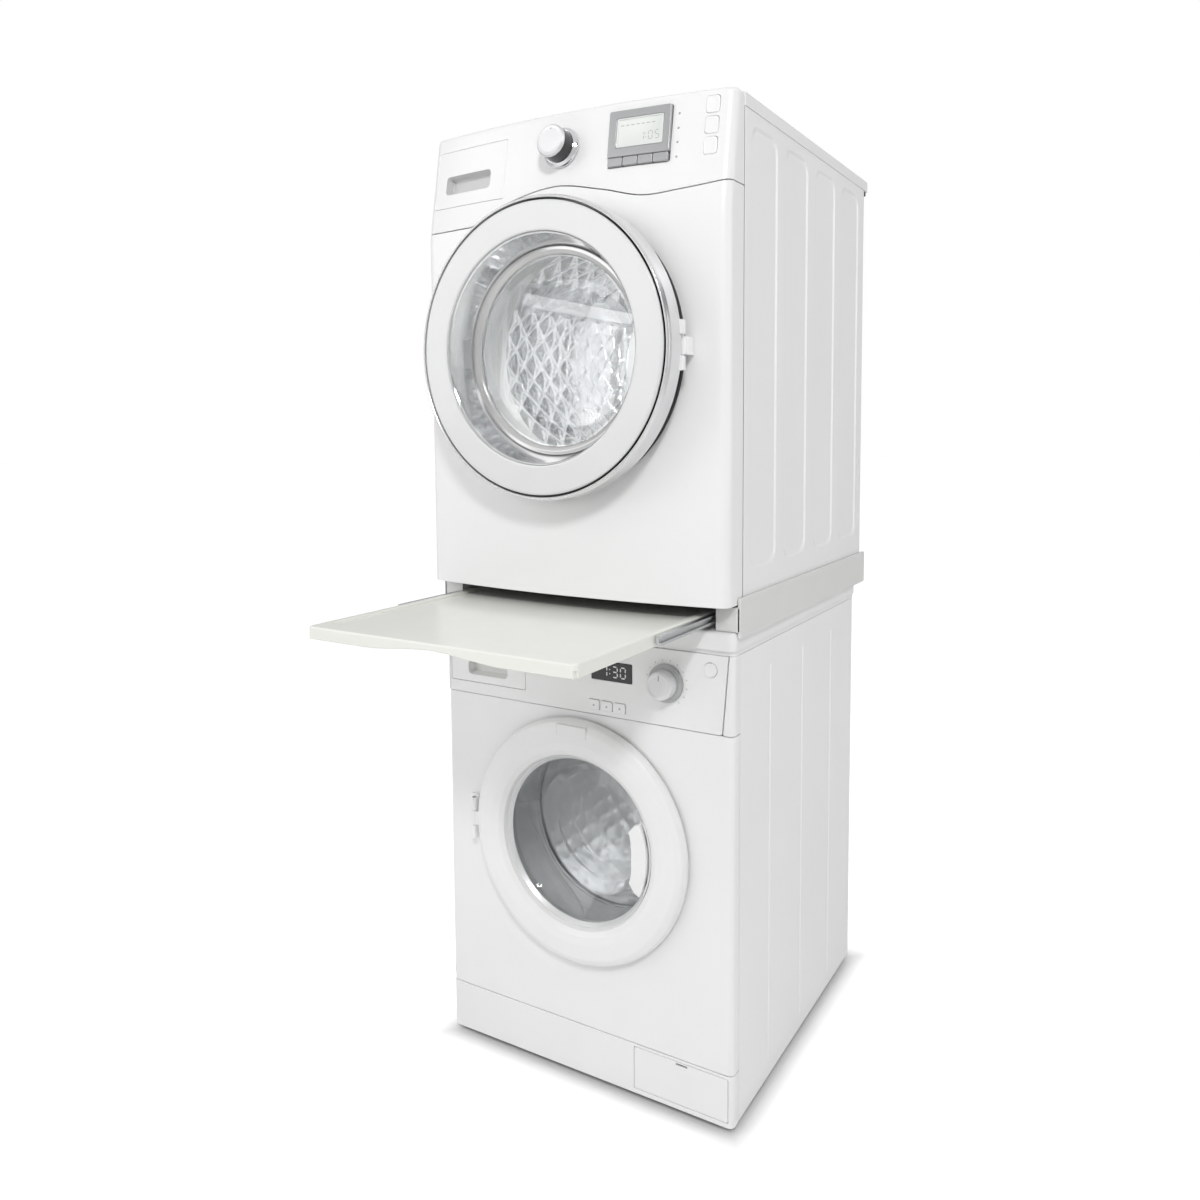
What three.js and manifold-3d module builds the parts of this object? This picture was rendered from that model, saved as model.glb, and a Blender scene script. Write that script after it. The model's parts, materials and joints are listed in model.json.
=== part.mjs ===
// A dryer stacked on a front-loading washer, with a stacking frame and a pull-out shelf between them.
// Millimetres, +Z up, the fronts face -Y. The origin is on the floor, below the middle of the whole
// stack's box with the shelf pulled out. Shapes below are drawn with y = 0 at the washer's front face.
import * as THREE from "three";
import { mergeVertices } from "three/addons/utils/BufferGeometryUtils.js";
import Module from "manifold-3d";

const wasm = await Module();
wasm.setup();

// ---------- Driving dimensions ----------
const GAP = 0.4; // clearance between neighbouring pieces

const WASHER = { half: 298, height: 840, back: 590, wall: 5, worktop: 38, plinth: 104, panel: 129 };
const WASHER_FOLD = { half: 298, back: 21.6, wall: 4, corner: 10 }; // the sheet round the front's corners
const WASHER_CASE_FRONT = 22;
const WASHER_FLOOR = 14;
const DRYER = { half: 300, height: 800, back: 630, wall: 5, worktop: 22, overhang: 20, front: 25 };
const KIT = { half: 306, height: 41, front: 4, back: 640, below: 10, above: 14, fascia: 44, wall: 4 };
const BEAM = { outer: 300, back: 580, barFront: 562 };
const SHELF = { half: 245, depth: 500, high: 866, thick: 20, out: 365, closed: 5, corner: 10 };

const DRYER_FLOOR = WASHER.height + KIT.height;
const DRYER_TOP = DRYER_FLOOR + DRYER.height;
const BOX_FRONT = SHELF.closed - SHELF.out;
const BOX_BACK = DRYER.back + DRYER.overhang;
const BOX_MIDDLE = (BOX_FRONT + BOX_BACK) / 2;

// The doors: centre height, ring radii and the planes of the ring's front and back.
const DRYER_DOOR = { z: 1288, outer: 242, inner: 184, face: -112, rear: -72, hingeX: 238, hingeY: -62 };
const WASHER_DOOR = { z: 443, outer: 218, inner: 152, face: -26, rear: -3.5, hingeX: -226, hingeY: -16 };

// The dryer's bowed front: its middle stands BOW mm ahead of its corners, and above LEAN_FROM it leans back.
const BOW = 24;
const FRONT_MIDDLE = -54;
const FRONT_CORNER = 18;
const LEAN_FROM = 1500;
const LEAN = Math.tan(THREE.MathUtils.degToRad(9));

const EMBOSS = 1.2; // how deep the cabinets' sides are pressed

const DOOR_SEGMENTS = 32;
const DRUM_SEGMENTS = 24;
const SMALL_SEGMENTS = 16;

// ---------- Finishes ----------
const finish = (color, roughness, metalness = 0) =>
  new THREE.MeshStandardMaterial({ color, roughness, metalness });
const enamel = finish(0xf3f4f4, 0.3);
const whitePlastic = finish(0xf5f5f4, 0.35);
const satinSilver = finish(0xd6d8da, 0.35, 0.3);
const greyPlastic = finish(0x9a9da0, 0.45);
const blackPlastic = finish(0x1c1d1f, 0.35);
const chrome = finish(0xd8dade, 0.12, 1);
const steel = finish(0xb9bcc0, 0.3, 1);
const darkSteel = finish(0x5b5f63, 0.45, 0.8);
const clearGlass = finish(0xbfc6ca, 0.05);
const rubber = finish(0x7d8083, 0.7);
const blackRubber = finish(0x222222, 0.8);
const concrete = finish(0xa8a49c, 0.9);
const creamPlastic = finish(0xf1f2ea, 0.4);
const paleGrey = finish(0xdfe0de, 0.45);

// ---------- Solids ----------
// A closed three.js geometry as a manifold-3d solid with its faces outwards.
function toSolid(geometry) {
  const bare = geometry.index ? geometry.toNonIndexed() : geometry;
  bare.deleteAttribute("normal");
  bare.deleteAttribute("uv");
  const merged = mergeVertices(bare, 1e-4);
  const index = merged.index.array;
  const corners = [];
  for (let i = 0; i < index.length; i += 3) {
    const [a, b, c] = [index[i], index[i + 1], index[i + 2]];
    if (a !== b && b !== c && c !== a) corners.push(a, b, c);
  }
  const build = (triVerts) =>
    new wasm.Manifold(
      new wasm.Mesh({ numProp: 3, vertProperties: merged.attributes.position.array, triVerts }),
    );
  const solid = build(new Uint32Array(corners));
  return solid.volume() > 0 ? solid : build(new Uint32Array(corners.reverse()));
}

const join = (first, ...others) => others.reduce((sum, solid) => sum.add(solid), first);
const cut = (first, ...others) => others.reduce((rest, solid) => rest.subtract(solid), first);

function block([x0, x1], [y0, y1], [z0, z1]) {
  const box = new THREE.BoxGeometry(x1 - x0, y1 - y0, z1 - z0);
  return toSolid(box.translate((x0 + x1) / 2, (y0 + y1) / 2, (z0 + z1) / 2));
}

// A shape drawn in X and Y, raised from z0 to z1.
function raise(shape, z0, z1, curveSegments = 2) {
  const made = new THREE.ExtrudeGeometry(shape, { depth: z1 - z0, bevelEnabled: false, curveSegments });
  return toSolid(made.translate(0, 0, z0));
}

// A shape drawn in X and Z, pushed from y0 back to y1.
function push(shape, y0, y1, curveSegments = 1) {
  const made = new THREE.ExtrudeGeometry(shape, { depth: y1 - y0, bevelEnabled: false, curveSegments });
  return toSolid(made.rotateX(Math.PI / 2).translate(0, y1, 0));
}

// A profile of [radius, y] points turned round an axis along Y, through (x, z).
function turnY(profile, segments, x = 0, z = 0) {
  const points = profile.map(([r, y]) => new THREE.Vector2(r, y));
  if (profile[0][0] > 0) points.push(points[0].clone());
  return toSolid(new THREE.LatheGeometry(points, segments).translate(x, 0, z));
}

// A profile of [radius, height] points turned round an axis along Z, through (x, y).
function turnZ(profile, segments, x, y) {
  const points = profile.map(([r, h]) => new THREE.Vector2(r, h));
  return toSolid(new THREE.LatheGeometry(points, segments).rotateX(Math.PI / 2).translate(x, y, 0));
}

const rod = (r, [y0, y1], x, z, segments = SMALL_SEGMENTS) =>
  turnY([[0, y0], [r, y0], [r, y1], [0, y1]], segments, x, z);

const post = (r, [z0, z1], x, y, segments = SMALL_SEGMENTS) =>
  turnZ([[0, z0], [r, z0], [r, z1], [0, z1]], segments, x, y);

// A rectangle with round corners.
function roundedRectangle([a0, a1], [b0, b1], r) {
  const shape = new THREE.Shape();
  shape.absarc(a1 - r, b1 - r, r, 0, Math.PI / 2);
  shape.absarc(a0 + r, b1 - r, r, Math.PI / 2, Math.PI);
  shape.absarc(a0 + r, b0 + r, r, Math.PI, 1.5 * Math.PI);
  shape.absarc(a1 - r, b0 + r, r, 1.5 * Math.PI, 2 * Math.PI);
  return shape;
}

// A plan outline with round corners at the front and a straight back edge.
function frontOutline(half, front, back, r) {
  const shape = new THREE.Shape();
  shape.moveTo(half, back);
  shape.lineTo(-half, back);
  shape.absarc(-half + r, front + r, r, Math.PI, 1.5 * Math.PI);
  shape.absarc(half - r, front + r, r, 1.5 * Math.PI, 2 * Math.PI);
  return shape;
}

// A sheet folded round the front and both front corners.
function frontShell({ half, front, back, low, high, wall, corner }) {
  const outer = raise(frontOutline(half, front, back, corner), low, high);
  const inner = raise(frontOutline(half - wall, front + wall, back + 1, corner - wall), low - 1, high + 1);
  return cut(outer, inner);
}

// Upright shallow grooves on both sides of a cabinet, one pair for each y in lines.
function sideGrooves({ half, depth, width, low, high, lines }) {
  return lines.flatMap((y) =>
    [-1, 1].map((side) => {
      const inside = side * (half - depth);
      const outside = side * (half + 1);
      const span = side > 0 ? [inside, outside] : [outside, inside];
      return block(span, [y - width / 2, y + width / 2], [low, high]);
    }),
  );
}

// A tray open at the top.
function tray({ half, front, back, low, high, wall }) {
  const inside = half - wall;
  return cut(
    block([-half, half], [front, back], [low, high]),
    block([-inside, inside], [front + wall, back - wall], [low + wall, high + 1]),
  );
}

// ---------- The scene graph ----------
const stack = new THREE.Group();
stack.position.y = -BOX_MIDDLE;

function toGeometry(solid) {
  const { vertProperties, triVerts } = solid.getMesh();
  const geometry = new THREE.BufferGeometry();
  geometry.setAttribute("position", new THREE.BufferAttribute(vertProperties, 3));
  geometry.setIndex(new THREE.BufferAttribute(triVerts, 1));
  geometry.computeVertexNormals();
  return geometry;
}

function add(name, solid, material, parent = stack) {
  const mesh = new THREE.Mesh(toGeometry(solid), material);
  mesh.name = name;
  parent.add(mesh);
}

// ---------- Washer: case ----------
const WASHER_SIDE_LINES = [145, 296, 451, 572];
const WASHER_GROOVE = { low: 42, high: 762, width: 5, depth: EMBOSS };
const WASHER_PAN = { half: 292, front: 2, back: 584, low: WASHER_FLOOR, high: 60, wall: 4 };
const WASHER_SLAB = { half: 300, front: -6, back: 598, corner: 14 };
const DOOR_OPENING = 172; // the radius of the hole in the washer's front panel
const WASHER_FOOT = { x: 250, front: 45, back: 545, stem: 6 };
const FILTER = { x: 200, z: 60, bore: 26.6, left: 108, right: 289, low: 22, high: 98 };

function washerCabinet() {
  const { half, back, wall, height, worktop } = WASHER;
  const top = height - worktop - GAP;
  const low = WASHER_FLOOR + 2;
  const shell = cut(
    block([-half, half], [WASHER_CASE_FRONT, back], [low, top]),
    block([-half + wall, half - wall], [WASHER_CASE_FRONT - 1, back - wall], [low - 1, top + 1]),
  );
  const grooves = sideGrooves({ half, lines: WASHER_SIDE_LINES, ...WASHER_GROOVE });
  const cordGland = rod(11, [back - 1, back + 5], -210, 690);
  const drainOutlet = rod(14, [back - 1, back + 7], 210, 640);
  const waterInlet = rod(10, [back - 1, back + 8], 150, 740);
  return join(cut(shell, ...grooves), cordGland, drainOutlet, waterInlet);
}

function washerBase() {
  const skirt = frontShell({ ...WASHER_FOLD, front: 0, low: WASHER_FLOOR, high: WASHER.plinth - GAP });
  const pan = tray(WASHER_PAN);
  const housing = rod(31, [12, 72], FILTER.x, FILTER.z);
  const cradle = block([FILTER.x - 25, FILTER.x + 25], [30, 64], [17, 40]);
  const flapOpening = block([FILTER.left, FILTER.right], [-1, 8], [FILTER.low, FILTER.high]);
  const stemHoles = washerFootPlaces().map(([x, y]) => post(WASHER_FOOT.stem + 0.8, [10, 22], x, y, 8));
  const filterBore = rod(FILTER.bore + 1, [10, 66], FILTER.x, FILTER.z);
  return cut(join(skirt, pan, housing, cradle), flapOpening, filterBore, ...stemHoles);
}

function washerFootPlaces() {
  const { x, front, back } = WASHER_FOOT;
  return [[-x, front], [x, front], [-x, back], [x, back]];
}

function washerFoot(x, y) {
  const r = WASHER_FOOT.stem;
  const profile = [[0, 0], [22, 0], [24, 3], [24, 9], [14, 13.5], [r, 13.5], [r, 36], [0, 36]];
  return turnZ(profile, 12, x, y);
}

function washerFrontPanel() {
  const { plinth, height, worktop, panel } = WASHER;
  const high = height - worktop - panel - GAP;
  const shell = frontShell({ ...WASHER_FOLD, front: 0, low: plinth, high });
  return cut(shell, rod(DOOR_OPENING, [-5, 10], 0, WASHER_DOOR.z, DOOR_SEGMENTS));
}

function washerWorktop() {
  const { height, worktop } = WASHER;
  const { half, front, back, corner } = WASHER_SLAB;
  const low = height - worktop;
  const rim = 14;
  const slab = raise(roundedRectangle([-half, half], [front, back], corner), low, height);
  const nose = block([-half - 1, half + 1], [front - 1, 0], [low - 1, low + 6]);
  const hollow = block([-half + rim, half - rim], [front + 18, back - 18], [low - 1, height - 16]);
  return cut(slab, nose, hollow);
}

function washerFilterFlap() {
  const { left, right, low, high } = FILTER;
  const outline = roundedRectangle([left + 1, right - 1], [low + 1, high - 1], 3);
  const slot = block([FILTER.x - 8, FILTER.x + 14], [-1, 5], [high - 6, high]);
  return cut(push(outline, 0.2, 3.8), slot);
}

function washerFilterCap() {
  const disc = rod(FILTER.bore, [14, 26], FILTER.x, FILTER.z);
  const thread = rod(FILTER.bore - 4, [25, 60], FILTER.x, FILTER.z);
  const grip = block([FILTER.x - 20, FILTER.x + 20], [6, 15], [FILTER.z - 4, FILTER.z + 4]);
  return join(disc, thread, grip);
}

// ---------- Washer: controls ----------
const WASHER_PANEL_LOW = WASHER.height - WASHER.worktop - WASHER.panel;
const PANEL_FACE = -3;
const WASHER_KNOB = { x: 176, z: 746 };
const WASHER_DISPLAY = { x: [28, 110], z: [734, 768] };
const WASHER_BUTTONS = { first: 34, pitch: 26, z: 690, width: 21, height: 17 };
const START_BUTTON = { x: 257, z: 777, r: 11.5 };
const DETERGENT = { x: [-286, -114], z: [694, 794] };

const grow = ([low, high], by) => [low - by, high + by];
const around = (middle, size) => [middle - size / 2, middle + size / 2];

function washerButtonOutline(index, extra) {
  const { first, pitch, z, width, height } = WASHER_BUTTONS;
  const x = first + index * pitch;
  return roundedRectangle(around(x, width + extra), around(z, height + extra), 3);
}

function washerControlPanel() {
  const high = WASHER.height - WASHER.worktop - GAP;
  const shell = frontShell({ ...WASHER_FOLD, front: PANEL_FACE, low: WASHER_PANEL_LOW, high });
  const through = [PANEL_FACE - 2, PANEL_FACE + 6];
  const openings = [
    block(DETERGENT.x, through, DETERGENT.z),
    block(WASHER_DISPLAY.x, through, WASHER_DISPLAY.z),
    rod(4.6, through, WASHER_KNOB.x, WASHER_KNOB.z),
    rod(START_BUTTON.r + 0.5, through, START_BUTTON.x, START_BUTTON.z),
    ...[0, 1, 2].map((i) => push(washerButtonOutline(i, 1), ...through)),
  ];
  return cut(shell, ...openings);
}

function washerKnob() {
  const skirt = [[32, -10], [32, PANEL_FACE - GAP], [4, PANEL_FACE - GAP]];
  const profile = [[0, -31], [22, -31], [24, -29], [24.5, -12], [30, -11.5], ...skirt, [4, 16], [0, 16]];
  return turnY(profile, DRUM_SEGMENTS, WASHER_KNOB.x, WASHER_KNOB.z);
}

function washerDisplay() {
  const { x, z } = WASHER_DISPLAY;
  return block(grow(x, -0.5), [PANEL_FACE - 0.8, PANEL_FACE + 8], grow(z, -0.5));
}

const washerButton = (index) => push(washerButtonOutline(index, 0), PANEL_FACE - 2.5, PANEL_FACE + 12);

const startButton = () =>
  rod(START_BUTTON.r, [PANEL_FACE - 2.5, PANEL_FACE + 12], START_BUTTON.x, START_BUTTON.z);

function detergentDrawer() {
  const [left, right] = grow(DETERGENT.x, -0.6);
  const [low, high] = grow(DETERGENT.z, -0.6);
  const face = block([left, right], [PANEL_FACE, 16], [low, high]);
  const grip = push(roundedRectangle([-245, -155], [low + 14, low + 40], 8), PANEL_FACE - 1, 12);
  const body = block([left + 5, right - 5], [15, 255], [low + 12, high - 14]);
  const cells = [[-274, -222], [-218, -180], [-176, -126]].map((x) => block(x, [20, 251], [low + 15, high]));
  return cut(join(face, body), grip, ...cells);
}

// ---------- Washer: door ----------
function washerDoorRing() {
  const { z, outer, inner, face, rear, hingeX, hingeY } = WASHER_DOOR;
  const skin = [[inner, -13], [160, -21], [178, face], [204, face + 1], [214, -19], [outer, -9]];
  const back = [[outer, rear], [outer - 5, rear], [204, -19], [178, -20], [158, -13]];
  const ring = turnY([...skin, ...back, [158, rear], [inner, rear]], DOOR_SEGMENTS, 0, z);
  const knuckle = join(
    post(5, [z - 13, z + 13], hingeX, hingeY, 16),
    block([hingeX, hingeX + 13], [hingeY - 3, hingeY + 3], [z - 13, z + 13]),
  );
  const lugs = [-1, 1].map((side) =>
    block([HANDLE.x - 6, 150], [-13, -5], around(z + side * (HANDLE.reach + 3.5), 5)),
  );
  const pinHole = post(2.6, [z - 14, z + 14], hingeX, hingeY, 16);
  const pivotHole = post(2.5, [z - 80, z + 80], HANDLE.x, HANDLE.y, 12);
  return cut(join(ring, knuckle, ...lugs), pinHole, pivotHole);
}

// The pull handle is a plate that reaches over the glass from the right side of the ring.
const HANDLE = { x: 138, y: -9.5, reach: 50, edge: 118, curve: 420 };

function washerDoorHandle() {
  const { x, y, reach, edge, curve } = HANDLE;
  const { z } = WASHER_DOOR;
  const plate = new THREE.Shape();
  const outer = 148;
  const tip = 0.44; // half the plate's spread round the door, in radians
  plate.absarc(0, z, outer, -tip, tip);
  plate.lineTo(edge - 6, z + reach);
  plate.absarc(edge - curve, z, curve, 0.1, -0.1, true);
  plate.lineTo(edge - 6, z - reach);
  const barrel = post(4, [z - reach, z + reach], x, y, 12);
  const web = block([x - 3, x + 3], [-18, y], [z - reach, z + reach]);
  const pins = post(2, [z - reach - 6, z + reach + 6], x, y, 12);
  return join(push(plate, -24, -17, 4), web, barrel, pins);
}

function washerDoorGlass() {
  const inside = [[0, 69], [98, 65], [114, 52], [136, 6], [143, -2], [151, -3.6]];
  const outside = [[151, 1.5], [143, 6], [120, 56], [101, 71], [0, 75]];
  return turnY([...inside, ...outside], DOOR_SEGMENTS, 0, WASHER_DOOR.z);
}

function washerDoorHinge() {
  const { z, hingeX, hingeY } = WASHER_DOOR;
  const leaf = block([hingeX - 16, hingeX - 2], [-4, -GAP], [z - 40, z + 40]);
  const arms = [-1, 1].flatMap((side) => {
    const middle = z + side * 26;
    const arm = block([hingeX - 8, hingeX], [hingeY, -2], around(middle, 24));
    return [arm, post(5, around(middle, 24), hingeX, hingeY, 16)];
  });
  return join(leaf, ...arms, post(2, [z - 38, z + 38], hingeX, hingeY, 12));
}

function washerGasket() {
  const front = [[158, 14], [158, 4.6], [180, 4.6], [180, 9], [167, 13]];
  const folds = [[176, 30], [163, 52], [170, 93.6], [162, 93.6], [155, 52], [168, 31]];
  return turnY([...front, ...folds], DRUM_SEGMENTS, 0, WASHER_DOOR.z);
}

// ---------- Washer: works ----------
const MOUTH = 164; // the radius of the tub's and the drum's openings
const TUB = { r: 262, front: 94, back: 460, wall: 5, hub: 26, bore: 15.8, hubDepth: 22 };
const WASHER_DRUM = { r: 236, front: 106, back: 430, wall: 3, shaft: 15, shaftEnd: 498 };
const ROTOR = { r: 134, wall: 5, front: 466, back: 500, bore: 15.4, hub: 30, hubFront: 486 };

function washerTub() {
  const { r, front, back, wall, hub, bore, hubDepth } = TUB;
  const outside = [[MOUTH, front], [r, front], [r, back], [hub, back], [hub, back + 8], [bore, back + 8]];
  const bearing = [[bore, back - hubDepth], [hub - 2, back - hubDepth], [hub - 2, back - wall]];
  const inside = [[r - wall, back - wall], [r - wall, front + wall], [MOUTH, front + wall]];
  return turnY([...outside, ...bearing, ...inside], DRUM_SEGMENTS, 0, WASHER_DOOR.z);
}

// Ribs that lift the load, inside a drum of radius r.
function lifters({ r, height, width, y, z }) {
  return [0, 1, 2].map((i) => {
    const rib = new THREE.Shape();
    rib.moveTo(-width / 2, -r);
    rib.lineTo(width / 2, -r);
    rib.lineTo(width / 6, -r + height);
    rib.lineTo(-width / 6, -r + height);
    const turn = (i * 2 * Math.PI) / 3;
    const made = new THREE.ExtrudeGeometry(rib, { depth: y[1] - y[0], bevelEnabled: false });
    return toSolid(made.rotateX(Math.PI / 2).rotateY(turn).translate(0, y[1], z));
  });
}

function washerDrum() {
  const { r, front, back, wall, shaft, shaftEnd } = WASHER_DRUM;
  const floor = back - 4;
  const outside = [[MOUTH, front], [r, front], [r, back], [shaft, back], [shaft, shaftEnd], [0, shaftEnd]];
  const inside = [[0, floor], [r - wall, floor], [r - wall, front + wall], [MOUTH, front + wall]];
  const shell = turnY([...outside, ...inside], DRUM_SEGMENTS, 0, WASHER_DOOR.z);
  const ribs = lifters({ r: r - 2, height: 30, width: 42, y: [front + 9, floor - 2], z: WASHER_DOOR.z });
  return join(shell, ...ribs);
}

const washerStator = () =>
  turnY([[34, 460.5], [124, 460.5], [124, 490], [34, 490]], DRUM_SEGMENTS, 0, WASHER_DOOR.z);

function washerRotor() {
  const { r, wall, front, back, bore, hub, hubFront } = ROTOR;
  const outside = [[bore, hubFront], [bore, back], [r, back], [r, front], [r - wall, front]];
  const inside = [[r - wall, back - wall], [hub, back - wall], [hub, hubFront]];
  return turnY([...outside, ...inside], DRUM_SEGMENTS, 0, WASHER_DOOR.z);
}

function washerCounterweight() {
  const span = THREE.MathUtils.degToRad(35);
  const arc = new THREE.Shape();
  arc.absarc(0, WASHER_DOOR.z, TUB.r + 38, Math.PI / 2 - span, Math.PI / 2 + span);
  arc.absarc(0, WASHER_DOOR.z, TUB.r + 1, Math.PI / 2 + span, Math.PI / 2 - span, true);
  return push(arc, 270, 430, 6);
}

// A friction damper between the base pan and the underside of the tub.
function washerDamper(side) {
  const foot = new THREE.Vector3(side * 205, 280, 26);
  const eye = new THREE.Vector3(side * 142, 280, 204);
  const length = foot.distanceTo(eye);
  const profile = [[0, 0], [12, 0], [12, 0.6 * length], [5, 0.6 * length], [5, length], [0, length]];
  const points = profile.map(([r, h]) => new THREE.Vector2(r, h));
  const geometry = new THREE.LatheGeometry(points, 12);
  const along = eye.clone().sub(foot).normalize();
  geometry.applyQuaternion(new THREE.Quaternion().setFromUnitVectors(new THREE.Vector3(0, 1, 0), along));
  return toSolid(geometry.translate(foot.x, foot.y, foot.z));
}

// ---------- Dryer: case ----------
const DRYER_SIDE_PANELS = { middles: [105, 245, 390, 535], width: 108, corner: 28, foot: 50, head: 20 };
const DRYER_BEARING = { r: 12, y: [598, 626] };
const DRYER_PAN = { half: 294, front: 6, back: 624, height: 44, wall: 4 };
const COLLAR = { r: 230, mouth: 192, y: [-66, -40] };

// The front face's depth at x, before it leans.
const bowAt = (x) => FRONT_MIDDLE + BOW * (x / DRYER.half) ** 2;

// The front's outline in plan, drawn inset from the outer face.
function bowedOutline(inset) {
  const half = DRYER.half - inset;
  const r = FRONT_CORNER - inset;
  const bend = DRYER.half - FRONT_CORNER;
  const shape = new THREE.Shape();
  shape.moveTo(half, DRYER.front - GAP + (inset ? 1 : 0));
  shape.lineTo(-half, DRYER.front - GAP + (inset ? 1 : 0));
  shape.lineTo(-half, bowAt(bend) + FRONT_CORNER);
  shape.quadraticCurveTo(-half, bowAt(bend) + inset, -half + r, bowAt(bend) + inset);
  const steps = 12;
  for (let i = 1; i < steps; i += 1) {
    const x = -bend + (2 * bend * i) / steps;
    shape.lineTo(x, bowAt(x) + inset);
  }
  shape.lineTo(half - r, bowAt(bend) + inset);
  shape.quadraticCurveTo(half, bowAt(bend) + inset, half, bowAt(bend) + FRONT_CORNER);
  return shape;
}

// The bowed front between two heights: upright below LEAN_FROM and leaning back above it.
function bowedFront(inset, low, high) {
  const upright = raise(bowedOutline(inset), low, LEAN_FROM);
  const options = { depth: high - LEAN_FROM, bevelEnabled: false, curveSegments: 2 };
  const leaning = new THREE.ExtrudeGeometry(bowedOutline(inset), options);
  leaning.translate(0, 0, LEAN_FROM);
  const place = leaning.attributes.position;
  for (let i = 0; i < place.count; i += 1) {
    const y = place.getY(i);
    const share = THREE.MathUtils.clamp((DRYER.front - GAP - y) / (DRYER.front + 10), 0, 1);
    place.setY(i, y + share * LEAN * (place.getZ(i) - LEAN_FROM));
  }
  return join(upright, toSolid(leaning));
}

// The wave between the control panel and the front panel, as the area above it.
function aboveSeam(lift) {
  const wave = [[-175, 1511], [-120, 1536], [-10, 1556], [80, 1542], [155, 1525], [215, 1528]];
  const points = [[-330, 1508], [-215, 1508], ...wave, [330, 1541]];
  const curve = new THREE.SplineCurve(points.map(([x, z]) => new THREE.Vector2(x, z + lift)));
  const shape = new THREE.Shape(curve.getPoints(32));
  shape.lineTo(330, DRYER_TOP + 20);
  shape.lineTo(-330, DRYER_TOP + 20);
  return push(shape, -130, DRYER.front + 20);
}

const DRYER_LOW = DRYER_FLOOR + 3;
const frontVolume = bowedFront(0, DRYER_LOW, DRYER_TOP);
const frontSheet = cut(frontVolume, bowedFront(DRYER.wall, DRYER_LOW - 1, DRYER_TOP - 4));

function dryerFrontPanel() {
  const { z } = DRYER_DOOR;
  const collar = rod(COLLAR.r, COLLAR.y, 0, z, DOOR_SEGMENTS);
  const mouth = rod(COLLAR.mouth, [-120, 10], 0, z, DOOR_SEGMENTS);
  return cut(join(cut(frontSheet, aboveSeam(-0.3)), collar), mouth);
}

function dryerCabinet() {
  const { half, back, wall, front, worktop } = DRYER;
  const top = DRYER_TOP - worktop - GAP;
  const shell = cut(
    block([-half, half], [front, back], [DRYER_LOW, top]),
    block([-half + wall, half - wall], [front - 1, back - wall], [DRYER_LOW - 1, top + 1]),
  );
  const { middles, width, corner, foot, head } = DRYER_SIDE_PANELS;
  const embossed = middles.flatMap((middle) =>
    [-1, 1].map((side) => {
      const outline = roundedRectangle(around(middle, width), [DRYER_LOW + foot, top - head], corner);
      const panel = new THREE.ExtrudeGeometry(outline, { depth: 3, bevelEnabled: false, curveSegments: 1 });
      panel.rotateX(Math.PI / 2).rotateZ(Math.PI / 2);
      return toSolid(panel.translate(side > 0 ? half - EMBOSS : -half - 3 + EMBOSS, 0, 0));
    }),
  );
  const bearing = rod(22, DRYER_BEARING.y, 0, DRYER_DOOR.z);
  const bore = rod(DRYER_BEARING.r + 1, [590, back - wall - 1], 0, DRYER_DOOR.z);
  const cordGland = rod(11, [back - 1, back + 5], -220, DRYER_FLOOR + 120);
  return cut(join(shell, bearing, cordGland), bore, ...embossed);
}

function dryerBase() {
  const low = DRYER_FLOOR + GAP;
  return tray({ ...DRYER_PAN, low, high: low + DRYER_PAN.height });
}

function dryerWorktop() {
  const { half, front, worktop } = DRYER;
  const low = DRYER_TOP - worktop;
  const slab = raise(roundedRectangle([-half, half], [front - 20, BOX_BACK], 12), low, DRYER_TOP);
  // The slab's round front corners are cut off square behind the control panel.
  const square = block([-half - 1, half + 1], [front - 21, front + GAP], [low - 1, DRYER_TOP + 1]);
  const hollow = block([-288, 288], [front + 20, DRYER.back - 20], [low - 1, DRYER_TOP - 10]);
  return cut(slab, square, hollow);
}

// ---------- Dryer: controls ----------
const CONTROLS_Z = 1618;
const DISPLAY = { x: 145, half: 54, low: -30.5, high: 45 };
const SOFT_BUTTONS = { pitch: 26.5, width: 25.7, low: -45, high: -31.3 };
const OPTION_BUTTONS = { x: 264, top: 1655, pitch: 32, width: 22, height: 27 };
const WATER_DRAWER = { x: [-286, -118], z: [1550, 1652], grip: [[-261, -152], [1574, 1606]] };

// The frame of a control at (x, z): its Y axis points into the panel, square to the surface.
function panelFrame(x, z) {
  const slope = (2 * BOW * x) / DRYER.half ** 2;
  const across = new THREE.Vector3(1, slope, 0).normalize();
  const inward = new THREE.Vector3(-slope, 1, -LEAN).normalize();
  const up = new THREE.Vector3().crossVectors(across, inward);
  const frame = new THREE.Matrix4().makeBasis(across, inward, up);
  return frame.setPosition(x, bowAt(x) + LEAN * (z - LEAN_FROM), z);
}

function onPanel(x, z) {
  const spot = new THREE.Group();
  panelFrame(x, z).decompose(spot.position, spot.quaternion, spot.scale);
  stack.add(spot);
  return spot;
}

// A solid drawn in a control's own frame, moved to its place in the panel.
const atPanel = (solid, x, z) => solid.transform(panelFrame(x, z).toArray());

const optionHeight = (index) => OPTION_BUTTONS.top - index * OPTION_BUTTONS.pitch;

function optionButton(extra, depth) {
  const { width, height } = OPTION_BUTTONS;
  return push(roundedRectangle(around(0, width + extra), around(0, height + extra), 6), ...depth);
}

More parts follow.
